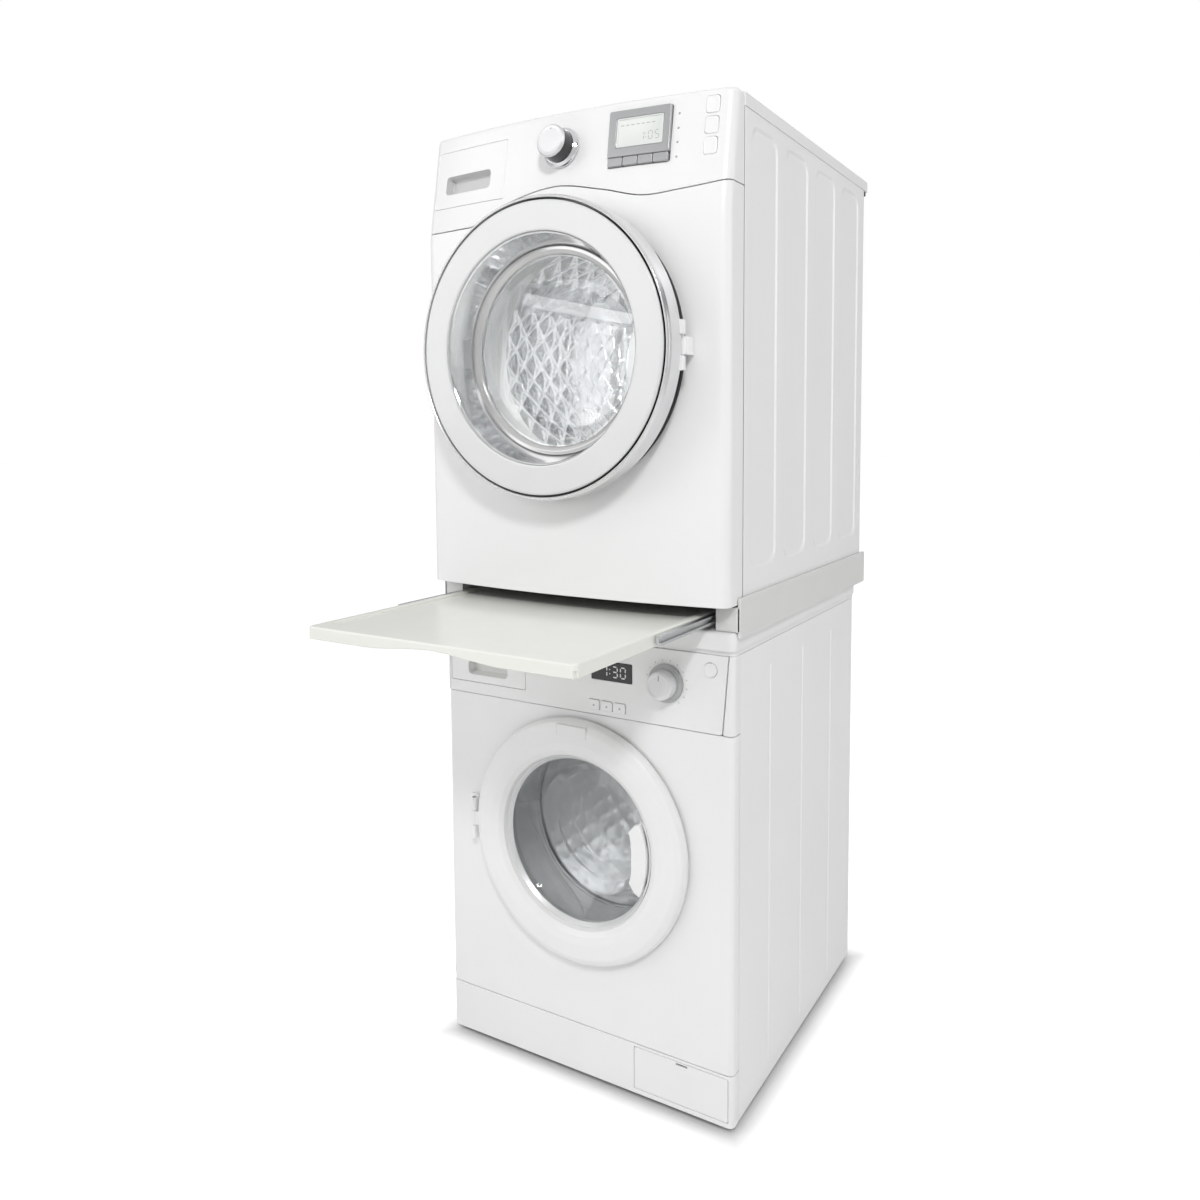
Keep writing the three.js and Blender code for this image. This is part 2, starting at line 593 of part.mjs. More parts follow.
function dryerControlPanel() {
  const { half, high } = DISPLAY;
  const through = [-12, 12];
  const displayHole = block(grow([-half, half], GAP), through, [SOFT_BUTTONS.low - 0.6, high + GAP]);
  const openings = [
    atPanel(displayHole, DISPLAY.x, CONTROLS_Z),
    atPanel(rod(5.6, through, 0, 0), 0, CONTROLS_Z),
    block(WATER_DRAWER.x, [-90, DRYER.front + 2], WATER_DRAWER.z),
    ...[0, 1, 2].map((i) => atPanel(optionButton(1, through), OPTION_BUTTONS.x, optionHeight(i))),
  ];
  return cut(frontSheet.intersect(aboveSeam(0.3)), ...openings);
}

function dryerKnob() {
  const cap = [[0, -34], [24, -34], [27, -31], [28, -9], [33, -6], [34, -4], [34, -1.2]];
  return turnY([...cap, [5, -1.2], [5, 16], [0, 16]], DRUM_SEGMENTS);
}

function dryerDisplay() {
  const { half, low, high } = DISPLAY;
  const bezel = push(roundedRectangle([-half, half], [low, high], 4), -5, 8);
  const screen = push(roundedRectangle([-40, 42], [-16, 32], 3), -6, -3.4);
  return cut(bezel, screen);
}

function softButton(index) {
  const { pitch, width, low, high } = SOFT_BUTTONS;
  return push(roundedRectangle(around((index - 1.5) * pitch, width), [low, high], 2), -4.5, 10);
}

function waterDrawer() {
  const [left, right] = grow(WATER_DRAWER.x, -GAP);
  const [low, high] = grow(WATER_DRAWER.z, -GAP);
  const face = frontVolume.intersect(block([left, right], [-90, 4], [low, high]));
  const grip = push(roundedRectangle(...WATER_DRAWER.grip, 8), -90, -4);
  const tank = block([left + 7, right - 7], [3, 420], [low + 26, high - 6]);
  const hollow = block([left + 10, right - 10], [8, 417], [low + 29, high]);
  return cut(join(face, tank), grip, hollow);
}

// ---------- Dryer: door ----------
function dryerDoorRing() {
  const { z, outer, inner, face, rear, hingeX, hingeY } = DRYER_DOOR;
  const skin = [[inner, face + 5], [inner + 4, face], [outer - 8, face], [outer, face + 8], [outer, rear]];
  const back = [[outer - 5, rear], [outer - 5, face + 10], [outer - 9, face + 5], [inner + 5, face + 5]];
  const rim = [[inner + 4.5, -78], [inner, -78]];
  const ring = turnY([...skin, ...back, ...rim], DOOR_SEGMENTS, 0, z);
  const lugs = [-1, 1].map((side) =>
    block([hingeX - 6, hingeX + 8], [rear - 4, hingeY + 6], around(z + side * 27, 22)),
  );
  return cut(join(ring, ...lugs), post(3.5, [z - 40, z + 40], hingeX, hingeY, 16));
}

function dryerDoorTrim() {
  const wall = [[181.5, -106], [183.5, -106], [183.5, -64], [172, -48], [158, -48]];
  return turnY([...wall, [158, -52], [168.4, -52], [170, -62]], DOOR_SEGMENTS, 0, DRYER_DOOR.z);
}

function dryerDoorGlass() {
  const inside = [[0, 12], [92, 8], [122, -5], [143, -42], [150, -60], [167.8, -60]];
  const outside = [[167.8, -54], [153, -54], [148, -40], [127, 1], [95, 14], [0, 18]];
  return turnY([...inside, ...outside], DOOR_SEGMENTS, 0, DRYER_DOOR.z);
}

function dryerDoorHinge() {
  const { z, hingeX, hingeY } = DRYER_DOOR;
  const bracket = block([hingeX - 5, hingeX + 8], [hingeY, -40.6], [z - 14, z + 14]);
  const barrel = post(6, [z - 14, z + 14], hingeX, hingeY, 16);
  return join(bracket, barrel, post(3, [z - 37, z + 37], hingeX, hingeY, 12));
}

// ---------- Dryer: works ----------
const DRYER_DRUM = { r: 275, mouth: 206, front: 63, back: 560, wall: 3, shaftEnd: 616 };
const MOTOR = { x: 190, z: 946, r: 54, shaft: 7, pulley: 20 };
const BELT = { y: [294, 306], thick: 3, play: 1.2 };

function dryerDrumSeal() {
  const duct = [[185, -44], [189.5, -44], [189.5, 38], [214, 58], [214, 62]];
  return turnY([...duct, [204, 62], [185, 44]], DOOR_SEGMENTS, 0, DRYER_DOOR.z);
}

function dryerDrum() {
  const { r, mouth, front, back, wall, shaftEnd } = DRYER_DRUM;
  const shaft = DRYER_BEARING.r;
  const floor = back - wall;
  const outside = [[mouth, front], [r, front], [r, back], [shaft, back], [shaft, shaftEnd], [0, shaftEnd]];
  const inside = [[0, floor], [r - wall, floor], [r - wall, front + wall], [mouth, front + wall]];
  const shell = turnY([...outside, ...inside], DRUM_SEGMENTS, 0, DRYER_DOOR.z);
  return join(shell, ...lifters({ r: r - 2, height: 38, width: 50, y: [76, back - 4], z: DRYER_DOOR.z }));
}

function dryerMotor() {
  const { x, z, r, shaft } = MOTOR;
  const can = rod(r, [322, 450], x, z);
  const cradle = block([x - 40, x + 40], [336, 436], [DRYER_FLOOR + 5, z]);
  return cut(join(can, cradle), rod(shaft + 1, [320, 362], x, z));
}

function dryerMotorPulley() {
  const { x, z, pulley, shaft } = MOTOR;
  const [front, back] = grow(BELT.y, 4);
  const rims = [[pulley + 5, front], [pulley + 5, front + 3], [pulley, front + 3.5], [pulley, back - 3.5]];
  const rest = [[pulley + 5, back - 3], [pulley + 5, back], [shaft, back], [shaft, 358], [0, 358]];
  return turnY([[0, front], ...rims, ...rest], SMALL_SEGMENTS, x, z);
}

// The closed line round the drum and the pulley at a distance from both.
function beltLoop(offset, PathType) {
  const far = new THREE.Vector2(MOTOR.x, MOTOR.z - DRYER_DOOR.z);
  const heading = far.angle();
  const open = Math.acos((DRYER_DRUM.r - MOTOR.pulley) / far.length());
  const loop = new PathType();
  loop.absarc(0, DRYER_DOOR.z, DRYER_DRUM.r + offset, heading + open, heading - open + 2 * Math.PI);
  loop.absarc(MOTOR.x, MOTOR.z, MOTOR.pulley + offset, heading - open, heading + open);
  return loop;
}

function dryerBelt() {
  const band = beltLoop(BELT.play + BELT.thick, THREE.Shape);
  band.holes.push(beltLoop(BELT.play, THREE.Path));
  return push(band, ...BELT.y, 14);
}

// ---------- Stacking kit ----------
function kitRail(side) {
  const { half, front, back, below, above, fascia, wall } = KIT;
  const floor = WASHER.height + GAP;
  const ceiling = DRYER_FLOOR - GAP;
  const inner = half - fascia;
  const beam = cut(
    block([inner, BEAM.outer], [front, BEAM.back], [floor, ceiling]),
    block([inner + wall, BEAM.outer - wall], [front + wall, BEAM.back + 1], [floor + wall, ceiling - wall]),
  );
  const skirt = block([half - 4.5, half], [front, back], [WASHER.height - below, DRYER_FLOOR + above]);
  const joint = block([BEAM.outer - 1, half - 1], [front, BEAM.back], [floor, ceiling]);
  const rail = join(beam, skirt, joint);
  return side > 0 ? rail : rail.mirror([1, 0, 0]);
}

// A square tube between the rails' back ends.
function kitRearBar() {
  const { wall } = KIT;
  const { barFront: front, back } = BEAM;
  const reach = KIT.half - KIT.fascia - GAP;
  const low = WASHER.height + GAP;
  const high = DRYER_FLOOR - GAP;
  return cut(
    block([-reach, reach], [front, back], [low, high]),
    block([-reach - 1, reach + 1], [front + wall, back - wall], [low + wall, high - wall]),
  );
}

const SLIDE = { inner: 248.5, outer: 257.5, low: 850, high: 864, length: 400, closed: 20 };

// The middle member of a telescopic slide, half as far out as the shelf.
function kitSlide(side) {
  const { inner, outer, low, high, length, closed } = SLIDE;
  const front = closed - SHELF.out / 2;
  const bar = block([inner, outer], [front, front + length], [low, high]);
  const groove = block([inner + 5, outer + 1], [front - 1, front + length + 1], [low + 4, high - 4]);
  const slide = cut(bar, groove);
  return side > 0 ? slide : slide.mirror([1, 0, 0]);
}

function shelf() {
  const { half, depth, high, thick, out, closed, corner } = SHELF;
  const low = high - thick;
  const front = closed - out;
  const board = raise(roundedRectangle([-half, half], [front, front + depth], corner), low, high);
  const dishOutline = roundedRectangle(grow([-half, half], -14), [front + 34, front + depth - 12], 8);
  const dish = raise(dishOutline, high - 4, high + 1);
  const scoop = new THREE.Shape();
  scoop.moveTo(-130, low - 1);
  scoop.bezierCurveTo(-60, low - 1, -70, low + 9, 0, low + 9);
  scoop.bezierCurveTo(70, low + 9, 60, low - 1, 130, low - 1);
  const ribs = [0, 1, 2, 3].map((i) => {
    const left = -half + 12 + i * 118;
    return block([left, left + 112], [front + 40, front + depth - 12], [low - 1, high - 9]);
  });
  return cut(board, dish, push(scoop, front - 1, front + 30, 6), ...ribs);
}

// ---------- Assembly ----------
add("washer_cabinet", washerCabinet(), enamel);
add("washer_base", washerBase(), whitePlastic);
washerFootPlaces().forEach(([x, y], i) => add(`washer_foot_${i + 1}`, washerFoot(x, y), blackRubber));
add("washer_front_panel", washerFrontPanel(), enamel);
add("washer_worktop", washerWorktop(), whitePlastic);
add("washer_filter_flap", washerFilterFlap(), whitePlastic);
add("washer_filter_cap", washerFilterCap(), greyPlastic);
add("washer_control_panel", washerControlPanel(), whitePlastic);
add("washer_detergent_drawer", detergentDrawer(), whitePlastic);
add("washer_knob", washerKnob(), greyPlastic);
add("washer_display", washerDisplay(), blackPlastic);
[0, 1, 2].forEach((i) => add(`washer_button_${i + 1}`, washerButton(i), greyPlastic));
add("washer_start_button", startButton(), whitePlastic);
add("washer_door_ring", washerDoorRing(), whitePlastic);
add("washer_door_handle", washerDoorHandle(), whitePlastic);
add("washer_door_glass", washerDoorGlass(), clearGlass);
add("washer_door_hinge", washerDoorHinge(), whitePlastic);
add("washer_gasket", washerGasket(), rubber);
add("washer_tub", washerTub(), greyPlastic);
add("washer_drum", washerDrum(), steel);
add("washer_stator", washerStator(), darkSteel);
add("washer_rotor", washerRotor(), darkSteel);
add("washer_counterweight", washerCounterweight(), concrete);
add("washer_damper_left", washerDamper(-1), darkSteel);
add("washer_damper_right", washerDamper(1), darkSteel);

add("dryer_cabinet", dryerCabinet(), enamel);
add("dryer_base", dryerBase(), steel);
add("dryer_worktop", dryerWorktop(), whitePlastic);
add("dryer_front_panel", dryerFrontPanel(), enamel);
add("dryer_control_panel", dryerControlPanel(), whitePlastic);
add("dryer_water_drawer", waterDrawer(), whitePlastic);
const knobSpot = onPanel(0, CONTROLS_Z);
add("dryer_knob", dryerKnob(), chrome, knobSpot);
const displaySpot = onPanel(DISPLAY.x, CONTROLS_Z);
add("dryer_display", dryerDisplay(), satinSilver, displaySpot);
[0, 1, 2, 3].forEach((i) => add(`dryer_soft_button_${i + 1}`, softButton(i), satinSilver, displaySpot));
[0, 1, 2].forEach((i) => {
  const spot = onPanel(OPTION_BUTTONS.x, optionHeight(i));
  add(`dryer_option_button_${i + 1}`, optionButton(0, [-2.5, 11]), whitePlastic, spot);
});
add("dryer_door_ring", dryerDoorRing(), satinSilver);
add("dryer_door_trim", dryerDoorTrim(), chrome);
add("dryer_door_glass", dryerDoorGlass(), clearGlass);
add("dryer_door_hinge", dryerDoorHinge(), darkSteel);
add("dryer_drum_seal", dryerDrumSeal(), rubber);
add("dryer_drum", dryerDrum(), steel);
add("dryer_motor", dryerMotor(), darkSteel);
add("dryer_motor_pulley", dryerMotorPulley(), darkSteel);
add("dryer_belt", dryerBelt(), blackRubber);

add("kit_left_rail", kitRail(-1), paleGrey);
add("kit_right_rail", kitRail(1), paleGrey);
add("kit_rear_bar", kitRearBar(), paleGrey);
add("kit_slide_left", kitSlide(-1), steel);
add("kit_slide_right", kitSlide(1), steel);
add("kit_shelf", shelf(), creamPlastic);

export default stack;
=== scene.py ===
import json
import math

import bmesh
import bpy
import numpy as np
from mathutils import Matrix, Vector
from mathutils.geometry import delaunay_2d_cdt


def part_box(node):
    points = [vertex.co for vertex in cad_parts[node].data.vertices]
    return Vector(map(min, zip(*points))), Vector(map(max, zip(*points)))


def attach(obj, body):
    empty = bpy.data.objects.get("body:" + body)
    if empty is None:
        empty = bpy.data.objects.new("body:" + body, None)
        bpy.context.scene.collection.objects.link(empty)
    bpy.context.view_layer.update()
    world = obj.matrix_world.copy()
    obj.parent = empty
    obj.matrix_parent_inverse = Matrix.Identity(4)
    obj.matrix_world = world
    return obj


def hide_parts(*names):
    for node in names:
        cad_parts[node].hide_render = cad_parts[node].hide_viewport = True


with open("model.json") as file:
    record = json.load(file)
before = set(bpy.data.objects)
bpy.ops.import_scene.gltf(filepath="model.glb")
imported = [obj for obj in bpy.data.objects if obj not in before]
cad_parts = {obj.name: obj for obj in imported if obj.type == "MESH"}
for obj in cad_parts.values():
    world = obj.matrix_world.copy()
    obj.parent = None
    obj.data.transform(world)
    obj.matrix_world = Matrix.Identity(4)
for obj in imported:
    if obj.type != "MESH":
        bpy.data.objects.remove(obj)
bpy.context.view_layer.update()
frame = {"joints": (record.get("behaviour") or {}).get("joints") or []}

MM = 0.001  # shapes are made in millimetres, and piece() turns them into metres
WHOLE_TURN = 2 * math.pi
JOIN_DISTANCE = 2e-6  # in metres: vertices closer than this become one
SAME_POINT = 1e-5  # in millimetres: a fill's points closer than this are one
FIXED = "stack"  # the body that holds everything that stays still


# ---------- The frame ----------
class Span:
    """A node's box in millimetres: its corners, middle and size."""

    def __init__(self, node):
        self.low, self.high = (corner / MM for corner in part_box(node))
        self.mid = (self.low + self.high) / 2
        self.size = self.high - self.low

    def outline(self, r, margin=0.0):
        """The box seen from the front, grown by a margin, with round corners."""
        low, high = self.low, self.high
        return rectangle(low.x - margin, high.x + margin, low.z - margin, high.z + margin, r)


# ---------- Mesh building ----------
def merge(*shapes):
    """Several (vertices, faces) pairs as one."""
    vertices, faces = [], []
    for more_vertices, more_faces in shapes:
        start = len(vertices)
        vertices += list(more_vertices)
        faces += [tuple(i + start for i in face) for face in more_faces]
    return vertices, faces


def moved(shape, matrix):
    return [tuple(matrix @ Vector(v)) for v in shape[0]], shape[1]


def shifted(shape, x=0.0, y=0.0, z=0.0):
    return moved(shape, Matrix.Translation((x, y, z)))


def add_object(name, data):
    obj = bpy.data.objects.new(name, data)
    bpy.context.scene.collection.objects.link(obj)
    return obj


def piece(name, shape, look, body=FIXED, replaces=(), sharp=32, solidify=0.0):
    """A finished object of the model, in its material, riding on its body."""
    mesh = bpy.data.meshes.new(name)
    mesh.from_pydata([Vector(v) * MM for v in shape[0]], [], shape[1])
    work = bmesh.new()
    work.from_mesh(mesh)
    bmesh.ops.remove_doubles(work, verts=work.verts, dist=JOIN_DISTANCE)
    loose = [edge for edge in work.edges if not edge.link_faces]
    bmesh.ops.delete(work, geom=loose, context="EDGES")
    bmesh.ops.recalc_face_normals(work, faces=work.faces)
    work.to_mesh(mesh)
    work.free()
    mesh.shade_smooth()
    mesh.set_sharp_from_angle(angle=math.radians(sharp))
    obj = add_object(name, mesh)
    mesh.materials.append(look["material"])
    if solidify:
        skin = obj.modifiers.new("thickness", "SOLIDIFY")
        skin.thickness = solidify * MM
        skin.offset = -1
    normals = obj.modifiers.new("normals", "WEIGHTED_NORMAL")
    normals.keep_sharp = True
    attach(obj, body)
    if replaces:
        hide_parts(*replaces)
    return obj


def rounded(points, radius, steps=5, closed=True):
    """A polyline whose corners are arcs. A point's third number is its own radius."""
    out = []
    for i, point in enumerate(points):
        here = Vector(point[:2])
        own = point[2] if len(point) > 2 else radius
        if own <= 0 or (not closed and i in (0, len(points) - 1)):
            out.append(here)
            continue
        before = Vector(points[i - 1][:2]) - here
        after = Vector(points[(i + 1) % len(points)][:2]) - here
        angle = before.angle(after)
        if angle > math.radians(176):
            out.append(here)
            continue
        reach = min(own / math.tan(angle / 2), 0.48 * before.length, 0.48 * after.length)
        start = here + before.normalized() * reach
        end = here + after.normalized() * reach
        for k in range(steps + 1):
            t = k / steps
            out.append((1 - t) ** 2 * start + 2 * t * (1 - t) * here + t * t * end)
    return [(p.x, p.y) for p in out]


def lathe(profile, segments=160, shape=None):
    """A closed profile of (radius, y) turned round the Y axis. shape(r, y, turn) may move a radius."""
    vertices, faces = [], []
    count = len(profile)
    for i in range(segments):
        turn = WHOLE_TURN * i / segments
        for r, y in profile:
            reach = shape(r, y, turn) if shape else r
            vertices.append((reach * math.sin(turn), y, reach * math.cos(turn)))
    for i in range(segments):
        j = (i + 1) % segments
        for k in range(count):
            m = (k + 1) % count
            faces.append((i * count + k, i * count + m, j * count + m, j * count + k))
    return vertices, faces


UPRIGHT = Matrix.Rotation(math.pi / 2, 4, "X")  # turns the lathe's Y axis to +Z


def rectangle(u0, u1, v0, v1, r=0.0, steps=6):
    return rounded([(u0, v0), (u1, v0), (u1, v1), (u0, v1)], r, steps)


def circle(r, u=0.0, v=0.0, count=128):
    turns = [WHOLE_TURN * i / count for i in range(count)]
    return [(u + r * math.cos(t), v + r * math.sin(t)) for t in turns]


def finer(loop, step):
    """A closed loop with no edge longer than step."""
    out = []
    for i, a in enumerate(loop):
        b = loop[(i + 1) % len(loop)]
        count = max(1, math.ceil(math.dist(a, b) / step))
        for k in range(count):
            t = k / count
            out.append((a[0] + (b[0] - a[0]) * t, a[1] + (b[1] - a[1]) * t))
    return out


def wound(loop, anticlockwise):
    area = sum(a[0] * b[1] - b[0] * a[1] for a, b in zip(loop, loop[1:] + loop[:1]))
    return loop if (area > 0) == anticlockwise else loop[::-1]


def inward(loop):
    """At each corner, the step into the material that keeps both its edges one unit away."""
    points = np.array(loop)
    along = np.roll(points, -1, axis=0) - points
    along /= np.linalg.norm(along, axis=1)[:, None]
    after = np.stack([-along[:, 1], along[:, 0]], axis=1)
    before = np.roll(after, 1, axis=0)
    middle = before + after
    return middle / np.maximum((middle * before).sum(axis=1), 0.5)[:, None]


def within(points, loops):
    """Whether each point is inside the first loop and outside the others."""
    odd = np.zeros(len(points), bool)
    for loop in loops:
        for (ax, ay), (bx, by) in zip(loop, loop[1:] + loop[:1]):
            if ay != by:
                crosses = (ay > points[:, 1]) != (by > points[:, 1])
                odd ^= crosses & (points[:, 0] < ax + (points[:, 1] - ay) / (by - ay) * (bx - ax))
    return odd


def clear_of(points, loops, margin):
    """Whether each point is further than the margin from every edge of the loops."""
    clear = np.ones(len(points), bool)
    for loop in loops:
        for a, b in zip(loop, loop[1:] + loop[:1]):
            step = np.subtract(b, a)
            share = np.clip(((points - a) @ step) / (step @ step), 0, 1)
            gap = points - a - share[:, None] * step
            clear &= (gap**2).sum(axis=1) > margin**2
    return clear


def fill(loops, rings, extra, vertices, place):
    """Triangles over the region that the loops bound. rings holds the loops' vertex numbers."""
    points = [Vector(p) for loop in loops for p in loop] + [Vector(p) for p in extra]
    known = [i for ring in rings for i in ring]
    edges = []
    start = 0
    for loop in loops:
        count = len(loop)
        edges += [(start + i, start + (i + 1) % count) for i in range(count)]
        start += count
    spots, _, faces, origins, *_ = delaunay_2d_cdt(points, edges, [], 1, SAME_POINT)
    numbers = []
    for spot, origin in zip(spots, origins):
        ring = [o for o in origin if o < len(known)]
        if ring:
            numbers.append(known[ring[0]])
        else:
            numbers.append(len(vertices))
            vertices.append(tuple(place(spot.x, spot.y)))
    middles = [[sum(spots[i][axis] for i in face) / len(face) for axis in (0, 1)] for face in faces]
    kept = within(np.array(middles), loops)
    return [tuple(numbers[i] for i in face) for face, keep in zip(faces, kept) if keep]


def add_ring(vertices, loop, steps_in, inset, place, depth):
    """Adds a loop that is moved into the material. Gives its plan and its vertex numbers."""
    ring = [tuple(p + n * inset) for p, n in zip(np.array(loop), steps_in)]
    numbers = list(range(len(vertices), len(vertices) + len(ring)))
    vertices += [tuple(place(u, v, depth)) for u, v in ring]
    return ring, numbers


def between(one, other):
    """Faces between two rings of vertex numbers."""
    return [(a, b, d, c) for a, b, c, d in zip(one, one[1:] + one[:1], other, other[1:] + other[:1])]


def plate(outline, place, thick, edge=1.2, holes=(), us=(), vs=(), step=None, steps=3):
    """A plate with round front edges. place(u, v, depth) gives a point at a depth below its front."""
    loops = [wound(outline, True)] + [wound(hole, False) for hole in holes]
    if step:
        loops = [finer(loop, step) for loop in loops]
    vertices, faces, fronts, backs, levels = [], [], [], [], []
    for k in range(steps + 1):
        turn = math.pi / 2 * k / steps
        levels.append((edge * (1 - math.sin(turn)), edge * (1 - math.cos(turn))))
    levels.append((0.0, thick))
    for loop in loops:
        steps_in = inward(loop)
        previous = None
        for inset, depth in levels:
            ring, numbers = add_ring(vertices, loop, steps_in, inset, place, depth)
            if previous is None:
                fronts.append((ring, numbers))
            else:
                faces += between(previous, numbers)
            previous = numbers
        backs.append((loop, previous))
    for group, depth in ((fronts, 0.0), (backs, thick)):
        inner = [loop for loop, _ in group]
        grid = np.array([(u, v) for u in us for v in vs]).reshape(-1, 2)
        extra = grid[within(grid, inner) & clear_of(grid, inner, max(edge, 0.8))].tolist()
        rings = [numbers for _, numbers in group]
        faces += fill(inner, rings, extra, vertices, lambda u, v: place(u, v, depth))
    return vertices, faces


def facing_front(y):
    """Places u along X, v along Z and depth back from the plane at y."""
    return lambda u, v, depth: (u, y + depth, v)


def facing_up(z):
    return lambda u, v, depth: (u, v, z - depth)


def facing_back(y):
    return lambda u, v, depth: (u, y - depth, v)


def facing_right(x):
    return lambda u, v, depth: (x - depth, u, v)


def lines(start, end, step):
    count = max(1, round((end - start) / step))
    return [start + (end - start) * i / count for i in range(count + 1)]


def smooth_step(t):
    t = min(1.0, max(0.0, t))
    return t * t * (3 - 2 * t)


def spun(profile, radius, steps, segments=160, place=(0, 0, 0), shape=None):
    """A profile with round corners, turned round the Y axis and moved to its place."""
    return shifted(lathe(rounded(profile, radius, steps), segments, shape), *place)


def rod(r, y0, y1, bevel=0.4, segments=48):
    return spun([(0, y0, 0), (r, y0), (r, y1), (0, y1, 0)], bevel, 3, segments)


def upright(r, half, x, y, z):
    """An upright rod, half of it above z."""
    return shifted(moved(rod(r, -half, half), UPRIGHT), x, y, z)


# ---------- Materials ----------
def set_inputs(node, values):
    for name, value in values.items():
        node.inputs[name].default_value = value


def place_stops(ramp, stops):
    """Moves a colour ramp's stops to (position, colour) pairs."""
    for element, (position, colour) in zip(ramp.color_ramp.elements, stops):
        element.position = position
        element.color = (*colour, 1)


def new_look(name, slot, colour, roughness, metallic=0.0):
    material = bpy.data.materials.new(name)
    material.use_nodes = True
    nodes, link = material.node_tree.nodes, material.node_tree.links.new
    shader = nodes["Principled BSDF"]
    set_inputs(shader, {"Base Color": (*colour, 1), "Roughness": roughness, "Metallic": metallic})
    return {"material": material, "slot": slot, "shader": shader, "nodes": nodes, "link": link}


def noise(look, scale, detail=3.0, stretch=(1, 1, 1)):
    """A noise texture in the object's own metres."""
    nodes = look["nodes"]
    where = nodes.new("ShaderNodeTexCoord")
    mapping = nodes.new("ShaderNodeMapping")
    mapping.inputs["Scale"].default_value = stretch
    texture = nodes.new("ShaderNodeTexNoise")
    set_inputs(texture, {"Scale": scale, "Detail": detail})
    look["link"](where.outputs["Object"], mapping.inputs["Vector"])
    look["link"](mapping.outputs["Vector"], texture.inputs["Vector"])
    return texture.outputs["Fac"]


def vary_roughness(look, source, low, high):
    remap = look["nodes"].new("ShaderNodeMapRange")
    set_inputs(remap, {"To Min": low, "To Max": high})
    look["link"](source, remap.inputs["Value"])
    look["link"](remap.outputs["Result"], look["shader"].inputs["Roughness"])


def vary_colour(look, source, dark, light, low=0.3, high=0.7):
    ramp = look["nodes"].new("ShaderNodeValToRGB")
    place_stops(ramp, ((low, dark), (high, light)))
    look["link"](source, ramp.inputs["Fac"])
    look["link"](ramp.outputs["Color"], look["shader"].inputs["Base Color"])


def bump(look, source, strength, distance):
    node = look["nodes"].new("ShaderNodeBump")
    set_inputs(node, {"Strength": strength, "Distance": distance})
    look["link"](source, node.inputs["Height"])
    look["link"](node.outputs["Normal"], look["shader"].inputs["Normal"])


def darker(colour, share):
    return tuple(c * share for c in colour)


def enamel_look(name, colour):
    """Sprayed and baked white paint: a fine orange peel under a clear gloss."""
    look = new_look(name, "white_enamel", colour, 0.3)
    set_inputs(look["shader"], {"Coat Weight": 0.25, "Coat Roughness": 0.06})
    vary_colour(look, noise(look, 3.0), darker(colour, 0.972), colour)
    vary_roughness(look, noise(look, 11.0), 0.29, 0.4)
    bump(look, noise(look, 520.0, 2.0), 0.05, 0.2 * MM)
    return look


def plastic_look(name, slot, colour, roughness=0.34, grain=0.06, coat=0.2):
    """Moulded plastic: a fine grain, slightly uneven in gloss and tint."""
    look = new_look(name, slot, colour, roughness)
    set_inputs(look["shader"], {"Coat Weight": coat, "Coat Roughness": 0.1})
    vary_colour(look, noise(look, 5.0, 4.0), darker(colour, 0.965), colour)
    vary_roughness(look, noise(look, 24.0), roughness - 0.06, roughness + 0.07)
    bump(look, noise(look, 1500.0, 3.0), grain, 0.15 * MM)
    return look


def metal_look(name, slot, colour, roughness, stretch=(1, 1, 1), scale=60.0, depth=0.04):
    """Bare metal with fine marks; stretch turns them into a brushed grain."""
    look = new_look(name, slot, colour, roughness, 1.0)
    marks = noise(look, scale, 6.0, stretch)
    vary_roughness(look, marks, max(0.02, roughness - 0.07), roughness + 0.08)
    vary_colour(look, noise(look, 9.0, 4.0), darker(colour, 0.9), colour)
    bump(look, marks, depth, 0.1 * MM)
    return look


def glass_look(name, colour, alpha, roughness=0.02):
    look = new_look(name, "clear_glass", colour, roughness)
    set_inputs(look["shader"], {"Transmission Weight": 1.0, "IOR": 1.45, "Alpha": alpha})
    vary_roughness(look, noise(look, 40.0), roughness * 0.4, roughness * 1.8)
    return look


def rubber_look(name, slot, colour):
    look = new_look(name, slot, colour, 0.6)
    vary_colour(look, noise(look, 30.0, 4.0), darker(colour, 0.8), colour)
    vary_roughness(look, noise(look, 60.0), 0.5, 0.75)
    bump(look, noise(look, 900.0, 4.0), 0.15, 0.2 * MM)
    return look


def concrete_look():
    look = new_look("cast_concrete", "concrete", (0.42, 0.4, 0.37), 0.9)
    vary_colour(look, noise(look, 90.0, 8.0), (0.3, 0.29, 0.27), (0.5, 0.48, 0.44))
    bump(look, noise(look, 200.0, 8.0), 0.6, 1 * MM)
    return look


def screen_look():
    """The pale face of a liquid crystal display, with a faint uneven tone."""
    look = new_look("screen_face", "white_plastic", (0.72, 0.75, 0.72), 0.25)
    vary_colour(look, noise(look, 14.0, 1.0), (0.66, 0.69, 0.66), (0.8, 0.82, 0.79))
    bump(look, noise(look, 4000.0, 1.0), 0.05, 0.05 * MM)
    return look


